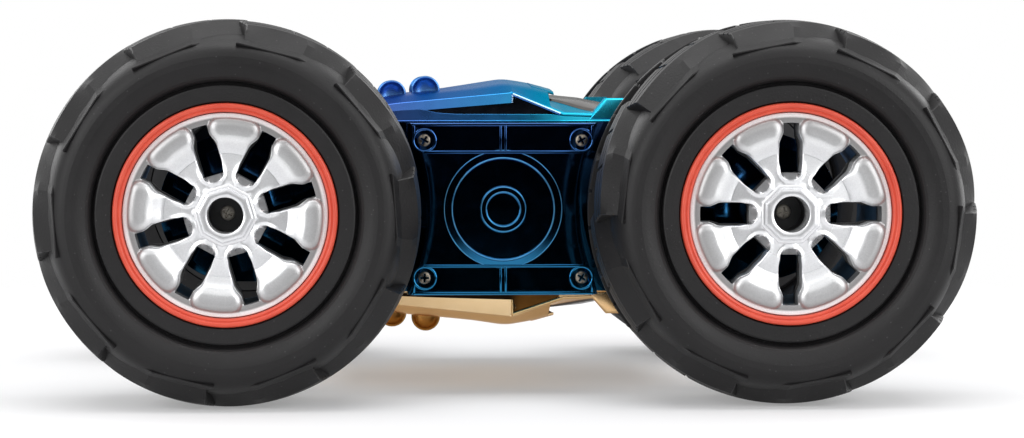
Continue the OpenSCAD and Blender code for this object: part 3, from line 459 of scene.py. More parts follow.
def drifting(name, tones, gloss, cloud_mm, spread=(0.3, 0.7), detail=4.0, grain_mm=None, **settings):
    """A finish whose tone and gloss drift in clouds, with a fine grain if it has one."""
    material, tree = empty_material(name)
    here = add(tree, "ShaderNodeTexCoord").outputs["Object"]
    cloud = add(tree, "ShaderNodeTexNoise", [("Vector", here)], Scale=scale_of(cloud_mm), Detail=detail)
    tone = add(tree, "ShaderNodeValToRGB", [("Fac", cloud)], list(zip(spread, map(linear, tones))))
    dull = add(tree, "ShaderNodeValToRGB", [("Fac", cloud)], list(zip(spread, gloss)))
    links = [("Base Color", tone), ("Roughness", dull)]
    if grain_mm:
        fine = add(tree, "ShaderNodeTexNoise", [("Vector", here)], Scale=scale_of(grain_mm), Detail=2.0)
        bump = add(tree, "ShaderNodeBump", [("Height", fine)], Strength=0.15, Distance=0.0001)
        links.append(("Normal", bump))
    skin = add(tree, "ShaderNodeBsdfPrincipled", links, **settings)
    add(tree, "ShaderNodeOutputMaterial", [("Surface", skin)])
    return material


def solid_tree():
    """Geometry nodes that weld a solid and shade it smooth, but for its edges."""
    tree = bpy.data.node_groups.new("smooth_solid", "GeometryNodeTree")
    tree.interface.new_socket("Solid", in_out="INPUT", socket_type="NodeSocketGeometry")
    tree.interface.new_socket("Solid", in_out="OUTPUT", socket_type="NodeSocketGeometry")
    given = add(tree, "NodeGroupInput")
    bare = add(tree, "GeometryNodeRemoveAttribute", [("Geometry", given)], Name="custom_normal")
    welded = add(tree, "GeometryNodeMergeByDistance", [("Geometry", bare)], Distance=2e-6)
    bend = add(tree, "GeometryNodeInputMeshEdgeAngle")
    flat = add(tree, "FunctionNodeCompare", [("A", bend.outputs["Unsigned Angle"])],
               operation="LESS_THAN", B=radians(SMOOTH_DEG))
    edges = add(tree, "GeometryNodeSetShadeSmooth",
                [("Geometry", welded), ("Shade Smooth", flat)], domain="EDGE")
    skin = add(tree, "GeometryNodeSetShadeSmooth", [("Geometry", edges)], domain="FACE")
    add(tree, "NodeGroupOutput", [(0, skin)])
    return tree


def paint(material, *names, edge_mm=0.0):
    """Gives solids that stay a finish, with round faces smooth, flats flat and edges rounded."""
    for name in names:
        cad[name].data.materials.clear()
        cad[name].data.materials.append(material)
        cad[name].modifiers.new("smooth", "NODES").node_group = smooth_solid
        if edge_mm:
            plain_faces = cad[name].modifiers.new("plain_faces", "DECIMATE")
            plain_faces.decimate_type = "DISSOLVE"
            plain_faces.angle_limit = radians(1)
            edges = cad[name].modifiers.new("edges", "BEVEL")
            edges.width = edge_mm / 1000
            edges.segments = 2
            edges.angle_limit = radians(BEVEL_DEG)
        cad[name].modifiers.new("flats", "WEIGHTED_NORMAL").keep_sharp = True


smooth_solid = solid_tree()
# Moulded ABS: half glossy, with broad clouds of gloss and a grain drawn coarse enough to show.
black_plastic = drifting("moulded_black_abs", ("#0D0D0E", "#141416"), (0.36, 0.46),
                         cloud_mm=14.29, detail=3.0, grain_mm=0.4545, IOR=1.54)
paint(black_plastic, *[f"{end}_{side}_rim" for end, side in CORNERS])


# Wheel faces: one satin silver moulding with an octagonal boss round the screw well, eight
# slots with sloped inner ends, and a raised pillow of a pad between each two slots. A spigot at
# its back sits in the rim.
FACE_TURN = {"front": 0.0, "rear": 16.4}
SECTORS = 8
HALF_SECTOR = pi / SECTORS
WELL_R = 5.4
WELL_LIP_R = 5.75
BOSS_FLAT = 7.6
FACE_R = 30.65
FACE_BACK = 18.45
FACE_TOP = 28.0
BAND_TOP = 26.0
SPIGOT_R = 28.85
SPIGOT_TOP = 24.05
CONE = ((9.6, 18.5), (25.7, 24.8))
SEAM_R = 18.55
DISH = ((SEAM_R, 22.0, 26.0), (25.15, 25.9, BAND_TOP))
SLOT_START = 10.4
SLOT_ROUND = 13.2
SLOT_END = 27.6
SLOT_HALF_W = 3.2
SLOT_BELLY = 0.38
BELLY_FULL = 16.5
SLOT_NECK = 1.22
NECK_RUN = (21.5, 25.2)
SLOT_CORNER = 3.1
SLOT_FLOOR_START = 12.4
SLOT_FLOOR = 22.8
SLOT_LIP = 0.55
LIP_W = 0.75
LIP_FADE = (13.0, 17.0)
SLOT_EDGE = 0.45
EDGE_DROP = 0.3
PAD_START = 18.75
PAD_R = 29.4
PAD_CORNER = 3.6
PAD_EDGE = 2.6
PAD_LIFT = 1.7
PAD_RISE = (18.8, 24.5)
PAD_GAP = 0.2


def smooth(low, high, x):
    """A soft step from 0 at low to 1 at high."""
    t = min(max((x - low) / (high - low), 0.0), 1.0)
    return t * t * (3 - 2 * t)


def slot_half(x):
    """Half the width of a slot: a round inner end, a belly, and a neck between the pads."""
    if x <= SLOT_START:
        return 0.0
    if x < SLOT_ROUND:
        return SLOT_HALF_W * sqrt(1 - ((SLOT_ROUND - x) / (SLOT_ROUND - SLOT_START)) ** 2)
    return (SLOT_HALF_W + SLOT_BELLY * smooth(SLOT_ROUND, BELLY_FULL, x)
            - SLOT_NECK * smooth(*NECK_RUN, x))


def face_depth(r, phi):
    """Height of the face at a radius and an angle from the middle of a pad."""
    away = HALF_SECTOR - abs(phi)
    x, y = r * cos(away), r * sin(away)
    gap = sqrt((x - SLOT_ROUND) ** 2 + y * y) - SLOT_CORNER if x < SLOT_ROUND else y - slot_half(x)
    gap = max(gap, 0.0)
    if r < SEAM_R:
        depth = float(np.interp(r, *CONE))
        depth += SLOT_LIP * np.exp(-(gap / LIP_W) ** 2) * (1 - smooth(*LIP_FADE, r))
    else:
        depth = float(np.interp(r, *DISH))
        half = slot_half(min(r, SLOT_END))
        wide = r * sin(HALF_SECTOR - asin(half / r)) - PAD_GAP
        q = (r - (PAD_R - PAD_CORNER), r * sin(abs(phi)) - (wide - PAD_CORNER))
        inside = PAD_CORNER - sqrt(max(q[0], 0) ** 2 + max(q[1], 0) ** 2) - min(max(q), 0)
        lift = sqrt(1 - (1 - min(max(inside / PAD_EDGE, 0.0), 1.0)) ** 2)
        depth += PAD_LIFT * lift * smooth(*PAD_RISE, r)
    if SLOT_START < r < SLOT_END:
        depth -= EDGE_DROP * (1 - min(gap / SLOT_EDGE, 1.0)) ** 2
    return depth


def face_rows():
    """Rows of (radius, angle, depth) over one eighth of the face, and where the slot has ended."""
    even = np.sin(np.linspace(-1, 1, 31) * pi / 2)
    neck = asin(slot_half(SLOT_END) / SLOT_END)
    spare = np.linspace(0, neck, 5)[:-1]
    rows = []

    def row(radius, depth=None, past_slot=False):
        if past_slot:
            angles = np.concatenate([-HALF_SECTOR + spare, even * (HALF_SECTOR - neck),
                                     (HALF_SECTOR - spare)[::-1]])
        else:
            middle = radius(0.0)
            angles = even * (HALF_SECTOR - asin(slot_half(middle) / middle))
        rows.append([(radius(a), a, face_depth(radius(a), a) if depth is None else depth)
                     for a in angles])

    def octagon(offset):
        return lambda a: BOSS_FLAT / cos(HALF_SECTOR - abs(a)) + offset

    def circle(r):
        return lambda a: r

    for r, d in [(WELL_R, FACE_BACK), (WELL_R, 27.55), (5.5, 27.85), (WELL_LIP_R, FACE_TOP)]:
        row(circle(r), d)
    row(lambda a: (WELL_LIP_R + octagon(-0.4)(a)) / 2, FACE_TOP)
    for offset, d in [(-0.42, FACE_TOP), (-0.12, 27.9), (0.0, 27.6), (0.12, 26.7), (0.3, 26.42),
                      (0.95, 26.36), (1.18, 26.22), (1.35, 25.8)]:
        row(octagon(offset), d)
    radii = [10.0, SLOT_START]
    radii += [SLOT_START + (SLOT_ROUND - SLOT_START) * (k / 12) ** 2 for k in range(1, 13)]
    radii += [SLOT_ROUND + 5.2 * k / 8 for k in range(1, 9)] + [18.5, 18.6, PAD_START]
    radii += [PAD_START + (SLOT_END - PAD_START) * k / 29 for k in range(1, 30)]
    for r in radii:
        row(circle(r))
    slot_rows = len(rows)
    for r in (SLOT_END, 27.9, 28.2, 28.5, 28.75, 29.0, 29.15, 29.28, 29.36, 29.42, 29.6, 30.0, 30.35):
        row(circle(r), past_slot=True)
    for r, d in [(30.52, BAND_TOP - 0.05), (FACE_R, BAND_TOP - 0.25), (FACE_R, SPIGOT_TOP),
                 (SPIGOT_R, SPIGOT_TOP), (SPIGOT_R, FACE_BACK)]:
        row(circle(r), d, past_slot=True)
    return rows, slot_rows


def face_sector():
    """One eighth of the face, from the middle of a slot to the middle of the next, with its back."""
    rows, slot_rows = face_rows()
    points, faces, sides = [], [], []
    for back in (False, True):
        ids = []
        for k, cells in enumerate(rows):
            ids.append([])
            for j, (r, a, d) in enumerate(cells):
                if back:
                    at_slot = k < slot_rows and j in (0, len(cells) - 1)
                    r, d = min(r, SPIGOT_R), FACE_BACK
                    if at_slot and SLOT_START - 0.01 < r < SLOT_ROUND:
                        away = HALF_SECTOR - abs(a)
                        x, y = max(r * cos(away), SLOT_FLOOR_START), r * sin(away)
                        a = np.sign(a) * (HALF_SECTOR - np.arctan2(y, x))
                        r, d = sqrt(x * x + y * y), SLOT_FLOOR
                ids[-1].append(len(points))
                points.append(about_axle(r, d, a))
        for k in range(len(rows) - 1):
            if k != slot_rows - 1:
                faces += [[ids[k][j], ids[k][j + 1], ids[k + 1][j + 1], ids[k + 1][j]]
                          for j in range(len(ids[k]) - 1)]
        sides.append(ids)
    top, under = sides
    for k in range(slot_rows - 1):
        if rows[k + 1][0][0] > SLOT_START:
            faces += [[top[k][j], top[k + 1][j], under[k + 1][j], under[k][j]] for j in (0, -1)]
    outer, below = top[slot_rows], under[slot_rows]
    for j in [*range(4), *range(len(outer) - 5, len(outer) - 1)]:
        faces.append([outer[j], outer[j + 1], below[j + 1], below[j]])
    return points, faces


# Vacuum-plated plastic under a satin lacquer, bright near the hub. Towards the pads' outer edges its
# colour greys as painted shade, where the pads slope away from the light, whichever wheel it is on.
# Its flakes are drawn coarser than they are, so that they show.
satin_silver, tree = empty_material("satin_silver_plating")
here = add(tree, "ShaderNodeTexCoord").outputs["Object"]
folded = add(tree, "ShaderNodeVectorMath", [(0, here)], operation="ABSOLUTE")
inward = add(tree, "ShaderNodeVectorMath", [(0, folded)], operation="MULTIPLY_ADD")
inward.inputs[1].default_value = (1, 0, 1)
inward.inputs[2].default_value = (-AXLE_X / 1000, 0, -AXLE_Z / 1000)
distance = add(tree, "ShaderNodeVectorMath", [(0, inward)], operation="LENGTH")
reach = add(tree, "ShaderNodeMath", [(0, distance.outputs["Value"])], operation="MULTIPLY")
reach.inputs[1].default_value = 25
# Painted shade: the ramp greys the pads from about 26 mm out to their outer edges, then turns pale again
# on the border.
silver = add(tree, "ShaderNodeValToRGB", [("Fac", reach)],
             [(0.36, linear("#E6E7E9")), (0.50, linear("#DCDDDF")), (0.57, linear("#E6E7E8")),
              (0.65, linear("#BBBBBC")), (0.725, linear("#949393")), (0.738, linear("#F4F2F2"))])
flake = add(tree, "ShaderNodeTexNoise", [("Vector", here)], Scale=scale_of(0.3846), Detail=2.0)
speck = add(tree, "ShaderNodeValToRGB", [("Fac", flake)],
            [(0.3, linear("#F2F2F2")), (0.7, linear("#FFFFFF"))])
tone = add(tree, "ShaderNodeMixRGB", [(1, silver), (2, speck)], blend_type="MULTIPLY", Fac=1.0)
dull = add(tree, "ShaderNodeValToRGB", [("Fac", reach)],
           [(0.3, 0.27), (0.55, 0.30), (0.68, 0.40), (0.74, 0.30)])
metal = add(tree, "ShaderNodeValToRGB", [("Fac", reach)], [(0.70, 0.7), (0.745, 0.15)])
plating = add(tree, "ShaderNodeBsdfPrincipled",
              [("Base Color", tone), ("Roughness", dull), ("Metallic", metal)])
add(tree, "ShaderNodeOutputMaterial", [("Surface", plating)])

sector = car_mesh("face_sector", *face_sector(), satin_silver)
for end, side in CORNERS:
    face = repeated(sector, round_the_axle, Count=SECTORS,
                    Turn=HALF_SECTOR + radians(FACE_TURN[end]), Material=satin_silver)
    face.name = f"{end}_{side}_silver_face"
    outward(fitted(face, end, side), sharp_deg=38)
    shown(face.name, face, f"{end}_{side}_wheel", [f"{end}_{side}_wheel_face"])


# Bead rings: red plastic rings that clamp the tyre's bead to the rim, with a rounded front and
# one fine moulded groove. Moulded ABS, half glossy, whose red drifts a little.
red_plastic = drifting("gloss_red_abs", ("#C8432F", "#D35039"), (0.34, 0.44), cloud_mm=8.333,
                       IOR=1.5)
ring_section = [(30.85, 24.02), (30.85, 27.0), (30.92, 27.3), (31.15, 27.5), (31.6, 27.58),
                (31.75, 27.42), (31.95, 27.42), (32.1, 27.68), (32.4, 27.9), (32.75, 27.98),
                (33.1, 27.9), (33.4, 27.6), (33.55, 27.1), (33.58, 24.02)]
for end, side in CORNERS:
    ring = car_mesh(f"{end}_{side}_red_ring", *turned(ring_section, steps=160), red_plastic)
    outward(fitted(ring, end, side), sharp_deg=45)
    shown(ring.name, ring, f"{end}_{side}_wheel", [f"{end}_{side}_bead_ring"])


# Screws: steel pan heads with a cross recess on plain shanks. One holds each wheel at the bottom
# of its well, zinc-plated, and four hold each side cover, blackened.
HUB_SEAT = 8.1
HUB_SCREW_TURN = {"front": 0.15, "rear": 0.4}
COVER_Y = 66.0
COVER_BACK = 64.0
RIB_H = 1.2
SEAT_DEPTH = 2.0
COVER_SEAT = COVER_Y + RIB_H - SEAT_DEPTH
SCREW_X = 24.7
SCREW_Z = 21.6
SCREW_SHARP = 40
CROSS_REACH = 0.62
CROSS_HALF_W = 0.17
CROSS_TAPER = 0.06
CROSS_DEPTH = 0.62


def pan_head(radius, height, shank_r, shank_l, steps=72):
    """A screw along -Y with its seat at the origin."""
    rings = []
    for r in [radius * k / 18 for k in range(17)] + [0.94 * radius, 0.985 * radius]:
        top = height * (1 - 0.30 * (r / radius) ** 2 - 0.25 * smooth(0.85, 1.0, r / radius))
        ring = []
        for k in range(steps):
            a = 2 * pi * k / steps
            x, z = abs(r * cos(a)), abs(r * sin(a))
            arm = min(max(p - CROSS_REACH * radius, q - (CROSS_HALF_W - CROSS_TAPER * p / radius) * radius)
                      for p, q in ((x, z), (z, x)))
            recess = CROSS_DEPTH * height * (1 - smooth(-0.10, 0.04, arm))
            ring.append(about_axle(r, top - recess, a))
        rings.append(ring)
    for r, d in [(radius, 0.35 * height), (radius, 0.0), (shank_r, 0.0), (shank_r, -shank_l + 0.8),
                 (0.45 * shank_r, -shank_l)]:
        rings.append([about_axle(r, d, 2 * pi * k / steps) for k in range(steps)])
    points = [point for ring in rings for point in ring]
    tip = [len(points) - steps + k for k in range(steps)]
    return points, grid(len(rings), steps, round_rows=True) + [tip]


def spot_tree():
    """Geometry nodes that set one mesh on every point of another, turned as the point says."""
    tree = bpy.data.node_groups.new("on_the_spots", "GeometryNodeTree")
    for name, kind in [("Spots", "NodeSocketGeometry"), ("Piece", "NodeSocketObject"),
                       ("Material", "NodeSocketMaterial")]:
        tree.interface.new_socket(name, in_out="INPUT", socket_type=kind)
    tree.interface.new_socket("Mesh", in_out="OUTPUT", socket_type="NodeSocketGeometry")
    given = add(tree, "NodeGroupInput")
    piece = add(tree, "GeometryNodeObjectInfo", [("Object", given.outputs["Piece"])])
    turn = add(tree, "GeometryNodeInputNamedAttribute", data_type="FLOAT_VECTOR", Name="turn")
    copies = add(tree, "GeometryNodeInstanceOnPoints",
                 [("Points", given.outputs["Spots"]), ("Instance", piece.outputs["Geometry"]),
                  ("Rotation", turn)])
    real = add(tree, "GeometryNodeRealizeInstances", [(0, copies)])
    painted = add(tree, "GeometryNodeSetMaterial",
                  [("Geometry", real), ("Material", given.outputs["Material"])])
    add(tree, "NodeGroupOutput", [(0, painted)])
    return tree


def set_on(name, mesh, spots, material):
    """A plain mesh of copies of one mesh on spots of (place in mm, turn)."""
    piece = bpy.data.objects.new("pattern", mesh)
    scene.collection.objects.link(piece)
    points = bpy.data.meshes.new("spots")
    points.from_pydata([[c / 1000 for c in place] for place, turn in spots], [], [])
    turns = points.attributes.new("turn", "FLOAT_VECTOR", "POINT")
    turns.data.foreach_set("vector", [c for place, turn in spots for c in turn])
    made = repeated(points, on_the_spots, Piece=piece, Material=material)
    bpy.data.objects.remove(piece)
    made.name = name
    return made


on_the_spots = spot_tree()
# Blackened steel shows a dark grey shine, and zinc plating a pale one at the bottom of the dark
# wells; both wear in small patches.
dark_steel = drifting("blackened_screw_steel", ("#4E4943", "#9A9184"), (0.28, 0.42),
                      cloud_mm=1.111, spread=(0.35, 0.7), Metallic=1.0)
zinc_steel = drifting("zinc_plated_screw_steel", ("#B9B2A6", "#DED8CC"), (0.40, 0.52),
                      cloud_mm=1.111, spread=(0.35, 0.7), Metallic=0.6)

hub_screw = car_mesh("hub_screw", *pan_head(radius=2.4, height=1.7, shank_r=1.45, shank_l=12.0),
                     zinc_steel)
outward(hub_screw, SCREW_SHARP)
for end, side in CORNERS:
    screw = set_on(f"{end}_{side}_hub_screw_steel", hub_screw,
                   [((0, -HUB_SEAT, 0), (0, HUB_SCREW_TURN[end], 0))], zinc_steel)
    outward(fitted(screw, end, side), SCREW_SHARP)
    shown(screw.name, screw, f"{end}_{side}_wheel", [f"{end}_{side}_hub_screw"])

cover_screw = car_mesh("cover_screw", *pan_head(radius=2.2, height=1.5, shank_r=1.3, shank_l=40.0),
                       dark_steel)
outward(cover_screw, SCREW_SHARP)
spots = []
for flip in (-1, 1):
    for k, (x, z) in enumerate([(-1, 1), (1, 1), (-1, -1), (1, -1)]):
        spots.append(((x * SCREW_X, flip * COVER_SEAT, AXLE_Z + z * SCREW_Z),
                      (0, 0.5 + 0.55 * k, 0 if flip < 0 else pi)))
screws = set_on("side_cover_screw_steel", cover_screw, spots, dark_steel)
shown(screws.name, outward(screws, SCREW_SHARP), "chassis", ["side_cover_screws"])


# Side covers: dark blue mirror-plated plates that close the motor pods, with hollowed ends for
# the tyres, ladder ribs along top and bottom, a dished round boss and four screw seats.
ARCH_R = 62.0
POD_HALF_H = 27.0
LONG_RIBS = [(26.0, 27.0), (17.4, 18.4)]
LONG_RIBS += [(-high, -low) for low, high in reversed(LONG_RIBS)]
CROSS_RIBS = ((18.0, 26.4, 22.4, 26.4), (-26.4, -18.0, -26.4, -22.4))
CENTRE_RIBS = ((-1.2, -0.35), (0.35, 1.2))
OUTER_RIBS = ((-28.45, -27.55), (27.55, 28.45))
RIB_ROOT = 0.8
RIB_INSET = 0.35
BOSS_BACK = COVER_BACK + 0.2


def raised(outline, low, high, soft):
    """An outline of (x, z) raised from one depth to another, with rounded upper edges."""
    ring = np.array(outline, float)
    ahead, behind = np.roll(ring, -1, 0) - ring, ring - np.roll(ring, 1, 0)
    ahead /= np.linalg.norm(ahead, axis=1)[:, None]
    behind /= np.linalg.norm(behind, axis=1)[:, None]
    turn = np.stack([-(ahead + behind)[:, 1], (ahead + behind)[:, 0]], 1)
    turn /= np.maximum(1 + (ahead * behind).sum(1), 0.25)[:, None]
    steps = [(0.0, low)] + [(soft * (1 - cos(a)), high - soft * (1 - sin(a)))
                            for a in np.linspace(0, pi / 2, 5)]
    points = [(x, -depth, z) for inset, depth in steps for x, z in ring + inset * turn]
    return points, grid(len(steps), len(ring), round_rows=True) + end_caps(len(points), len(ring))


def rib(x0, z0, x1, z1):
    """A straight rib on a cover."""
    return raised([(x0, z0), (x1, z0), (x1, z1), (x0, z1)], COVER_Y - RIB_ROOT, COVER_Y + RIB_H,
                  soft=0.3)


def shifted_by(part, x, z):
    """A part moved along the car and upwards."""
    return [(p[0] + x, p[1], p[2] + z) for p in part[0]], part[1]


def chassis_piece(name, part, material, sharp_deg, replaced=()):
    """A piece of the body, made of points in millimetres and faces."""
    mesh = outward(car_mesh(name, *part, material), sharp_deg)
    return shown(name, mesh, "chassis", replaced)


end_z = np.linspace(-POD_HALF_H, POD_HALF_H, 29)
end_x = AXLE_X - np.sqrt(ARCH_R ** 2 - end_z ** 2)
plate = [*zip(end_x, end_z), *zip(-end_x[::-1], end_z[::-1])]
parts = [raised(plate, COVER_BACK, COVER_Y, soft=0.4)]
for z0, z1 in LONG_RIBS:
    reach = AXLE_X - sqrt(ARCH_R ** 2 - min(abs(z0), abs(z1)) ** 2) - RIB_INSET
    parts.append(rib(-reach, z0, reach, z1))
for z0, z1, outer_z0, outer_z1 in CROSS_RIBS:
    parts += [rib(x0, z0, x1, z1) for x0, x1 in CENTRE_RIBS]
    parts += [rib(x0, outer_z0, x1, outer_z1) for x0, x1 in OUTER_RIBS]
boss = [(0.0, BOSS_BACK), (18.6, BOSS_BACK), (18.6, 66.3), (18.53, 66.48), (18.35, 66.56),
        (18.2, 66.57), (16.6, 66.61), (16.45, 66.62), (16.36, 66.72), (16.3, 66.98), (16.2, 67.1),
        (16.05, 67.14), (15.9, 67.1), (15.78, 66.98), (15.7, 66.78), (15.6, 66.7), (15.4, 66.7),
        (7.45, 66.7), (7.25, 66.7), (7.1, 66.78), (7.02, 67.0), (7.0, 67.95), (6.94, 68.14),
        (6.78, 68.24), (6.6, 68.24), (5.8, 68.24), (5.62, 68.24), (5.46, 68.14), (5.4, 67.95),
        (5.36, 67.0), (5.28, 66.78), (5.1, 66.7), (4.9, 66.7), (0.0, 66.7)]
parts.append(turned(boss, closed=False))
seat = [(1.4, BOSS_BACK), (3.9, BOSS_BACK), (3.9, 66.9), (3.8, 67.12), (3.6, 67.2),
        (3.3, 67.2), (3.15, 67.12), (3.08, 66.9), (3.08, COVER_SEAT), (1.4, COVER_SEAT)]
parts += [shifted_by(turned(seat, steps=48), x * SCREW_X, z * SCREW_Z) for x in (-1, 1) for z in (-1, 1)]
cover_points, cover_faces = joined(parts)

# Vacuum plating under tinted lacquer: a dark mirror that only lights up where it sees a lamp,
# greyer blue at the top and nearer teal at the bottom, with slow ripples and a faint haze.
navy_chrome, tree = empty_material("blue_black_chrome_plating")
here = add(tree, "ShaderNodeTexCoord").outputs["Object"]
ripple = add(tree, "ShaderNodeTexNoise", [("Vector", here)], Scale=scale_of(16.67), Detail=2.0)
haze = add(tree, "ShaderNodeTexNoise", [("Vector", here)], Scale=scale_of(4.167), Detail=4.0)
axes = add(tree, "ShaderNodeSeparateXYZ", [(0, here)])
level = add(tree, "ShaderNodeMapRange", [("Value", axes.outputs["Z"])],
            From_Min=(AXLE_Z - POD_HALF_H) / 1000, From_Max=(AXLE_Z + POD_HALF_H) / 1000)
film = add(tree, "ShaderNodeValToRGB", [("Fac", level)],
           [(0.0, linear("#27729A")), (0.5, linear("#2B6896")), (1.0, linear("#3A5C94"))])
dimmed = add(tree, "ShaderNodeValToRGB", [("Fac", haze)],
             [(0.3, linear("#F1F3F6")), (0.7, linear("#FFFFFF"))])
tone = add(tree, "ShaderNodeMixRGB", [(1, film), (2, dimmed)], blend_type="MULTIPLY", Fac=1.0)
dull = add(tree, "ShaderNodeValToRGB", [("Fac", haze)], [(0.3, 0.05), (0.7, 0.10)])
bump = add(tree, "ShaderNodeBump", [("Height", ripple)], Strength=0.04, Distance=0.0003)
plating = add(tree, "ShaderNodeBsdfPrincipled",
              [("Base Color", tone), ("Roughness", dull), ("Normal", bump)], Metallic=1.0)
add(tree, "ShaderNodeOutputMaterial", [("Surface", plating)])

# The same plating on the fine beads of the boss, made paler and softer as a painted highlight, so that
# they show as lit lines all round; its tone drifts in spots.
bead_highlight_chrome = drifting("worn_blue_chrome_plating", ("#3C7FAE", "#5A9AC4"), (0.34, 0.46),
                       cloud_mm=3.333, Metallic=0.85)
bead_angles = np.linspace(0, 2 * pi, 12, endpoint=False)
bead_points, bead_faces = joined(
    [turned([(r + thick * cos(a), depth + thick * sin(a)) for a in bead_angles], steps=160)
     for r, depth, thick in ((18.46, 66.44, 0.14), (16.05, 67.0, 0.24),
                             (6.95, 68.12, 0.15), (5.45, 68.12, 0.15))])
for side, flip in (("right", 1), ("left", -1)):
    chassis_piece(f"{side}_cover_plate", (cover_points * [1, flip, 1] + [0, 0, AXLE_Z], cover_faces),
                  navy_chrome, sharp_deg=30, replaced=[f"{side}_side_cover"])
    chassis_piece(f"{side}_cover_beads", (bead_points * [1, flip, 1] + [0, 0, AXLE_Z], bead_faces),
                  bead_highlight_chrome, sharp_deg=60)
paint(navy_chrome, "right_gearbox_case", "left_gearbox_case", edge_mm=0.3)


# Body shells: thin mouldings, the upper one plated from violet over blue to teal, the lower in gold.
# Each has a sharp ridge over a recessed side panel, a roof that ends in a visor, and fins.
# Lines are (x, height) or (x, half width) along the car, heights above the shell's lower edge.
SHELL_BASE = 27.0
SHELL_WALL = 1.3
SHELL_END = 55.0
SIDE_SOFT = 3.0
ROOF_SOFT = 2.5
ROOF_SOFT_END = 14.0
RIDGE_LEAN = 0.3
ROOF = [(-55, 2.2), (-46, 6.6), (-34.4, 8.8), (-27.5, 9.7), (-18, 10.8), (2.5, 14), (10.5, 12.8),
        (16.4, 11.3), (16.7, 8.3), (20, 8.0), (28, 7.2), (39, 5), (55, 2)]
CROWN = [(-55, 0.2), (-24, 0.3), (-8, 1.2), (55, 1.2)]
SIDE = [(-55, 39), (-44, 45), (42, 45), (55, 37)]
ROOF_SIDE = [(-55, 30), (-20, 30), (16.4, 28), (16.9, 20), (55, 20)]
RIDGE = {"upper": [(-55, 1.6), (-46, 4.4), (-32, 6.2), (4, 9.5), (20.5, 2.9), (55, 1.6)],
         "lower": [(-55, 1.6), (-46, 3.6), (-32, 4.8), (4, 8.7), (20.5, 2.9), (55, 1.6)]}
PANEL_LOW = [(-55, 1.2), (-46, 3.4), (-33, 5.2), (-29, 4.8), (-24, 3.9), (-20, 3.0), (-14, 2.6),
             (16.4, 2.5), (20.5, 2.3), (55, 1.2)]
PANEL_HIGH = {"upper": [(-55, 1.2), (-24, 3.9), (3.7, 6.2), (4.1, 9.0), (19.4, 2.75), (20.5, 2.3),
                        (55, 1.2)],
              "lower": [(-55, 0.9), (-44, 1.3), (-24, 2.2), (3.7, 3.1), (4.1, 7.8), (19.4, 2.75),
                        (20.5, 2.3), (55, 1.2)]}
LOWER_PANEL_FOOT = 0.85
PANEL_DEPTH = 0.7
PANE_START = {"upper": -23.2, "lower": -46.0}
PANE_STEP = (3.7, 4.1)
PANE_BACK = 0.3
PANE_FRONT = 0.12
FRAME_END = 19.4
FRAME_R = 0.5
POST_R = 0.4
POST_X = 4.0
SILL_LEAN = [(-55, 0.3), (-50, 0.26), (-44, 0.04), (8, 0.02), (18, 0.1), (26, 0.3), (55, 0.3)]
KEY_STATIONS = [-24.0, -23.7, *PANE_STEP, 3.9, 16.4, 16.5, 16.6, 16.7, FRAME_END, 20.5]
RECESS_FOOT, RECESS_HEAD, RECESS_LIP = 6, 7, 8
VISOR_X = (11.2, 18.4)
VISOR_HALF_W = 27.6
VISOR_ROOT = (10.5, 12.85)
VISOR_FALL = 0.27
VISOR_CURVE = 1.2
FIN = [(38, 0.5), (41.2, 7.7), (34.2, 7.7), (28, 0.5)]
FIN_Y = (36.0, 44.9)
HOOD_X = (17.0, 38.0)
HOOD_HALF_W = 22.0
HOOD_FLARE = 16.0
HOOD_FLARE_END = 31.0
HOOD_RISE = 0.5
SCREEN_X = (16.5, 17.3)
SCREEN_HALF_W = 19.0
SCREEN_TOP = 10.7
SCREEN_CURVE = 0.4
HORN_SPOTS = ((-34.4, 8.8), (-23.4, 10.2))


def line_at(x, points, soft=0.0):
    """Height on a line of (x, height), its corners rounded over a distance."""
    xs, hs = zip(*points)
    if not soft:
        return float(np.interp(x, xs, hs))
    near = np.clip(x + np.linspace(-soft, soft, 9), xs[0], xs[-1])
    return float(np.interp(near, xs, hs).mean())


def shell_half(x, level):
    """Half a cross-section of a shell as (side, height), from the lower edge to the middle."""
    s, w, r = line_at(x, RIDGE[level]), line_at(x, SIDE, SIDE_SOFT), line_at(x, ROOF_SIDE)
    h = line_at(x, ROOF, ROOF_SOFT if x < ROOF_SOFT_END else 0.0)
    high = line_at(x, PANEL_HIGH[level])
    low = min(line_at(x, PANEL_LOW), 0.62 * s) if level == "upper" else LOWER_PANEL_FOOT
    deep = min(PANEL_DEPTH, 6 * max(high - low - 0.05, 0.0))
    high = max(high, low + 0.02)
    s = max(s, high + 0.25)
    crown = min(line_at(x, CROWN), (h - s) / 2)
    waist, lean = w - 0.15 - line_at(x, SILL_LEAN) * low, RIDGE_LEAN * (s - high)
    points = [(w - 0.2, 0.0), (w, 0.15), (w, 0.45), (w - 0.15, 0.6), (waist + 0.05, 0.97 * low),
              (waist, low), (waist - deep, low + 0.02), (waist - deep, high - 0.02), (waist, high),
              (waist - 0.05, high + 0.04 * (s - high)), (waist - 0.05 - lean, s - 0.15),
              (waist - 0.22 - lean, s + 0.02)]
    start, bend, top = np.array(points[-1]), np.array([r, h - crown]), np.array([0, h])
    knee, rise = bend + 0.34 * (start - bend), bend + 0.3 * (top - bend)
    points += [tuple(start + t * (knee - start)) for t in np.linspace(0.06, 1, 7)]
    points += [tuple((1 - t) ** 2 * knee + 2 * t * (1 - t) * bend + t * t * rise)
               for t in np.linspace(0.12, 1, 8)]
    points += [tuple(rise + t * (top - rise)) for t in np.linspace(0.15, 1, 7)]
    return points


def shell_surface(level):
    """The outer skin of a shell."""
    evenly = np.round(np.linspace(-SHELL_END, SHELL_END, 121), 2).tolist()
    xs, points = sorted(set(evenly + KEY_STATIONS)), []
    for x in xs:
        half = shell_half(x, level)
        points.extend([(x, y, z) for y, z in half + [(-y, z) for y, z in reversed(half[:-1])]])
    return points, grid(len(xs), len(points) // len(xs))


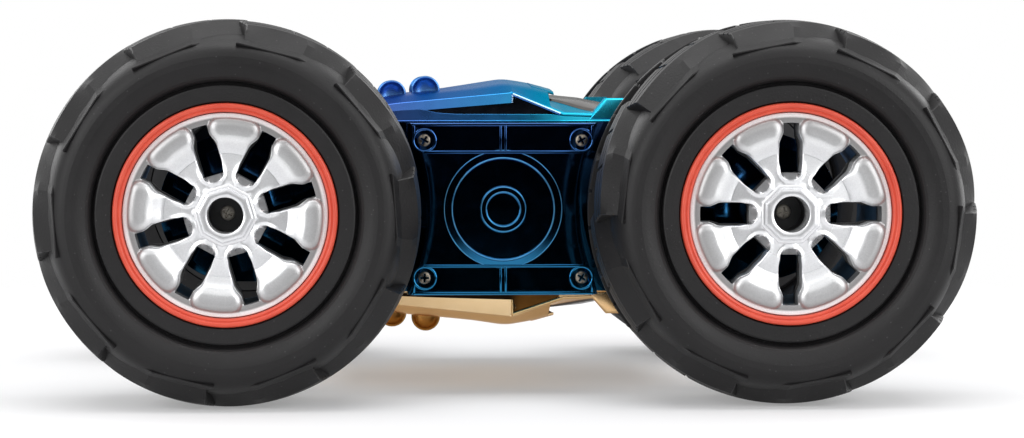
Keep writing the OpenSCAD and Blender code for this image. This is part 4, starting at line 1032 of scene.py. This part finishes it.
def side_panes(level):
    """The dark panes that fill the recess in both sides."""
    xs = np.concatenate([np.linspace(PANE_START[level], 3.6, 40), np.linspace(PANE_STEP[1], 19.0, 24)])
    parts = []
    for flip in (-1, 1):
        points = []
        for x in xs:
            half = shell_half(x, level)
            (y, low), (_, high) = half[RECESS_FOOT], half[RECESS_HEAD]
            back, front = flip * (y - PANE_BACK), flip * (y + PANE_FRONT)
            points.extend([(x, back, low), (x, front, low), (x, front, high), (x, back, high)])
        faces = grid(len(xs), 4)
        faces += [[4 * k, 4 * k + 3, 4 * k + 7, 4 * k + 4] for k in range(len(xs) - 1)]
        parts.append((points, faces + end_caps(len(points), 4)))
    return joined(parts)


def sheet(x_range, half_width, height, thick, columns=24, rows=33):
    """A closed sheet over the roof: half its width by x, its height by x and y, rounded sides."""
    points = []
    for under in (0, 1):
        for x in np.linspace(*x_range, columns):
            for v in np.sin(np.linspace(-1, 1, rows) * pi / 2):
                y = half_width(x) * v
                drop = thick if under else 0.5 * thick * smooth(0.9, 1.0, abs(v))
                points.append((x, y, height(x, y) - drop))
    faces, below = grid(columns, rows), rows * columns
    faces += [[i + below for i in reversed(face)] for face in faces]
    edge = ([k * rows for k in range(columns)] + [(columns - 1) * rows + j for j in range(1, rows)]
            + [k * rows + rows - 1 for k in reversed(range(columns - 1))]
            + [j for j in reversed(range(1, rows - 1))])
    faces += [[a, b, b + below, a + below] for a, b in zip(edge, edge[1:] + edge[:1])]
    return points, faces


def on_roof(x, y, level):
    """Height of the roof or hood at a place."""
    half = np.array(shell_half(x, level))[::-1]
    return float(np.interp(abs(y), half[:, 0], half[:, 1]))


def bead(path, r, steps=10):
    """A round bead along a path of points."""
    path, points = np.array(path, float), []
    for k, p in enumerate(path):
        along = path[min(k + 1, len(path) - 1)] - path[max(k - 1, 0)]
        along /= np.linalg.norm(along)
        side = np.cross(along, [0, 1, 0])
        side /= np.linalg.norm(side)
        up = np.cross(side, along)
        points.extend([p + r * (cos(2 * pi * j / steps) * side + sin(2 * pi * j / steps) * up)
                       for j in range(steps)])
    return points, grid(len(path), steps, round_rows=True) + end_caps(len(points), steps)


def visor_height(x, y):
    """Height of the visor, which falls forwards and towards its sides."""
    root_x, root_z = VISOR_ROOT
    return root_z - VISOR_FALL * (x - root_x) - VISOR_CURVE * (abs(y) / 28) ** 1.4


def shell_trim():
    """Fins and visor, which are moulded on the shell."""
    points, faces = raised(FIN, *FIN_Y, soft=0.9)
    parts = [([(x, -flip * y, z) for x, y, z in points], faces) for flip in (-1, 1)]
    parts.append(sheet(VISOR_X, lambda x: VISOR_HALF_W, visor_height, thick=0.95))
    return joined(parts)


def window_frames(level):
    """Bright beads along the front edge of the side windows."""
    parts = []
    for flip in (-1, 1):
        path = []
        for x in np.linspace(PANE_STEP[1], FRAME_END, 16):
            y, z = shell_half(x, level)[RECESS_LIP]
            path.append((x, flip * (y - 0.05), z - 0.1))
        foot = (POST_X, path[0][1], shell_half(PANE_STEP[0], level)[RECESS_LIP][1])
        parts += [bead(path, FRAME_R), bead([foot, path[0]], POST_R)]
    return joined(parts)


def hood_panel(level):
    """The grey panel on the hood, wider towards the nose."""
    return sheet(HOOD_X, lambda x: HOOD_HALF_W + HOOD_FLARE * smooth(HOOD_X[0], HOOD_FLARE_END, x),
                 lambda x, y: on_roof(x, y, level) + HOOD_RISE, thick=0.9)


def window_panes(level):
    """The side panes and the windscreen under the visor."""
    windscreen = sheet(SCREEN_X, lambda x: SCREEN_HALF_W,
                       lambda x, y: SCREEN_TOP - SCREEN_CURVE * (y / SCREEN_HALF_W) ** 2,
                       thick=2.5, columns=3, rows=21)
    return joined([side_panes(level), windscreen])


def intake_horns():
    """Two pipes across the roof, whose ends flare like horns."""
    half = [(0.0, 20.0), (1.6, 20.05), (2.9, 20.5), (3.6, 21.2), (3.9, 21.65), (4.1, 21.9), (4.3, 22.0),
            (4.55, 21.9), (4.7, 21.6), (4.68, 21.2), (4.5, 20.8), (4.38, 20.2), (4.35, 19.0)]
    pipe = turned(half + [(r, -d) for r, d in reversed(half)], steps=72, closed=False)
    return joined([shifted_by(pipe, x, z) for x, z in HORN_SPOTS])


def at_level(part, level):
    """A part of a shell in its place; the lower shell is turned over about the car's length."""
    turn = [1, 1, 1] if level == "upper" else [1, -1, -1]
    return (np.asarray(part[0], float) + [0, 0, SHELL_BASE]) * turn + [0, 0, AXLE_Z], part[1]


def plated(name, stops, gloss, tint):
    """Vacuum plating under tinted lacquer whose colour drifts along the car.

    It has a faint haze and slow flow marks, and its edges catch a paler light.
    """
    material, tree = empty_material(name)
    here = add(tree, "ShaderNodeTexCoord").outputs["Object"]
    axes = add(tree, "ShaderNodeSeparateXYZ", [(0, here)])
    along = add(tree, "ShaderNodeMapRange", [("Value", axes.outputs["X"])],
                From_Min=-SHELL_END / 1000, From_Max=SHELL_END / 1000)
    colour = add(tree, "ShaderNodeValToRGB", [("Fac", along)],
                 [(place, linear(shade)) for place, shade in stops])
    haze = add(tree, "ShaderNodeTexNoise", [("Vector", here)], Scale=scale_of(3.846), Detail=4.0)
    drift = add(tree, "ShaderNodeValToRGB", [("Fac", haze)], [(0.3, linear(tint)), (0.7, 1.0)])
    mixed = add(tree, "ShaderNodeMixRGB", [(1, colour), (2, drift)], blend_type="MULTIPLY", Fac=1.0)
    dull = add(tree, "ShaderNodeValToRGB", [("Fac", haze)], [(0.3, gloss[0]), (0.7, gloss[1])])
    flow = add(tree, "ShaderNodeTexNoise", [("Vector", here)], Scale=scale_of(22.22), Detail=2.0)
    bump = add(tree, "ShaderNodeBump", [("Height", flow)], Strength=0.03, Distance=0.0004)
    edge = add(tree, "ShaderNodeMixRGB", [(1, mixed)], Fac=0.25, Color2=linear("#FFFFFF"))
    skin = add(tree, "ShaderNodeBsdfPrincipled",
               [("Base Color", mixed), ("Specular Tint", edge), ("Roughness", dull), ("Normal", bump)],
               Metallic=1.0)
    add(tree, "ShaderNodeOutputMaterial", [("Surface", skin)])
    return material


# The shells shine softly in their shifting colours, the window frames are brighter and paler, the upper
# ones' pale blue a painted highlight, the hood is a smoky grey mirror, and the horns are duller, the lower
# ones darkened to brown as painted shade. The panes are near black, but for the lower ones' brown ahead of
# the step, a painted reflection of the gold.
shift_chrome = plated("violet_to_teal_chrome_plating",
                      [(0.0, "#5158A6"), (0.25, "#3F69AC"), (0.5, "#3280B6"), (0.66, "#1F9AB8"),
                       (1.0, "#3AC6DC")], (0.26, 0.30), "#F8FAFC")
gold_chrome = plated("gold_chrome_plating", [(0.0, "#F4CE9A"), (0.5, "#FADAAA"), (1.0, "#E0B47C")],
                     (0.20, 0.24), "#FBF9F5")
# Painted highlight: the upper window frames are plated a paler blue than the shell, so that they read as
# lit lines.
frame_highlight_blue = plated("pale_blue_chrome_plating", [(0.0, "#A8C4EC"), (1.0, "#B4DCF0")],
                   (0.16, 0.24), "#F2F4F8")
pale_gold = plated("pale_gold_chrome_plating", [(0.0, "#F0CE98"), (1.0, "#F0CE98")],
                   (0.16, 0.24), "#F8F4EC")
smoke_chrome = plated("smoke_grey_chrome_plating", [(0.0, "#6F7276"), (1.0, "#8C8884")],
                      (0.17, 0.20), "#F6F6F7")
satin_blue = plated("satin_blue_chrome_plating", [(0.0, "#5A84BA"), (1.0, "#5690C0")],
                    (0.34, 0.42), "#ECEEF6")
# Painted shade: the lower horns get a darker brown copy of the gold, for the shade they sit in under the
# car.
shaded_gold = plated("satin_brown_gold_plating", [(0.0, "#B98C50"), (1.0, "#C09456")],
                    (0.34, 0.42), "#F4EFE6")
# Painted reflection: the lower panes are near black behind the step and brown ahead of it, the brown
# standing in for the gold they reflect.
pane_gold_reflection = plated("smoked_gold_chrome_plating",
                     [(0.0, "#20160C"), (0.53, "#241A0F"), (0.56, "#6E4A22"), (1.0, "#6E4A22")],
                     (0.10, 0.18), "#F0ECE4")
window_black = drifting("gloss_black_window_panel", ("#08090C", "#101218"), (0.12, 0.2),
                        cloud_mm=6.667, detail=3.0, IOR=1.5)
for level, chrome, bright, pane, satin, slot in (
        ("upper", shift_chrome, frame_highlight_blue, window_black, satin_blue, "blue_shell"),
        ("lower", gold_chrome, pale_gold, pane_gold_reflection, shaded_gold, "gold_shell")):
    skin = chassis_piece(f"{level}_shell_skin", at_level(shell_surface(level), level), chrome,
                         sharp_deg=18, replaced=[f"{level}_shell"])
    wall = skin.modifiers.new("wall", "SOLIDIFY")
    wall.thickness = SHELL_WALL / 1000
    wall.offset = -1
    chassis_piece(f"{level}_shell_trim", at_level(shell_trim(), level), chrome, sharp_deg=35)
    chassis_piece(f"{level}_window_frames", at_level(window_frames(level), level), bright, sharp_deg=40)
    chassis_piece(f"{level}_hood_panel", at_level(hood_panel(level), level), smoke_chrome,
                  sharp_deg=40)
    chassis_piece(f"{level}_window_panes", at_level(window_panes(level), level), pane,
                  sharp_deg=30, replaced=[f"{level}_windows"])
    chassis_piece(f"{level}_intake_horns", at_level(intake_horns(), level), satin,
                  sharp_deg=40, replaced=[f"{level}_intake_pipes"])


# Inside: gears, axles, motors, battery, board and switch keep their solids, each in its own finish.
# They sit in the black moulded frame and gearboxes, and little of them shows: bright turned and
# plated steel, milky nylon, dull brass, shiny green shrink wrap and solder mask, and dull plastic.
bright_steel = drifting("turned_bright_steel", ("#A9ACB0", "#C6C8CB"), (0.22, 0.34),
                        cloud_mm=1.429, Metallic=1.0)
gear_nylon = drifting("natural_gear_nylon", ("#D8D4C6", "#E6E3D8"), (0.4, 0.52), cloud_mm=3.333)
motor_can = drifting("zinc_plated_motor_steel", ("#8E9297", "#B2B5B8"), (0.26, 0.4),
                     cloud_mm=2.857, Metallic=1.0)
sintered_brass = drifting("sintered_brass", ("#9A7A3A", "#B8954C"), (0.3, 0.45), cloud_mm=1.111,
                          Metallic=1.0)
battery_wrap = drifting("green_battery_shrink_wrap", ("#1E5B3A", "#26704A"), (0.25, 0.36),
                        cloud_mm=5.0)
board_mask = drifting("green_solder_mask", ("#12492A", "#1B6238"), (0.3, 0.42), cloud_mm=2.0)
switch_grey = drifting("grey_switch_plastic", ("#6A6C70", "#7C7E82"), (0.42, 0.55), cloud_mm=2.5)
paint(bright_steel, "gear_pins", *[f"{end}_{side}_axle" for end, side in CORNERS])
for kind in ("wheel", "reduction", "idler"):
    paint(gear_nylon, *[f"{end}_{side}_{kind}_gear" for end, side in CORNERS])
paint(motor_can, "right_motor", "left_motor")
paint(sintered_brass, "right_motor_pinion", "left_motor_pinion", "axle_bushes")
paint(battery_wrap, "battery_pack", edge_mm=1.2)
paint(board_mask, "circuit_board")
paint(switch_grey, "power_switch", edge_mm=0.25)
paint(black_plastic, "centre_frame", "battery_door", "right_gearbox_lid", "left_gearbox_lid",
      edge_mm=0.35)
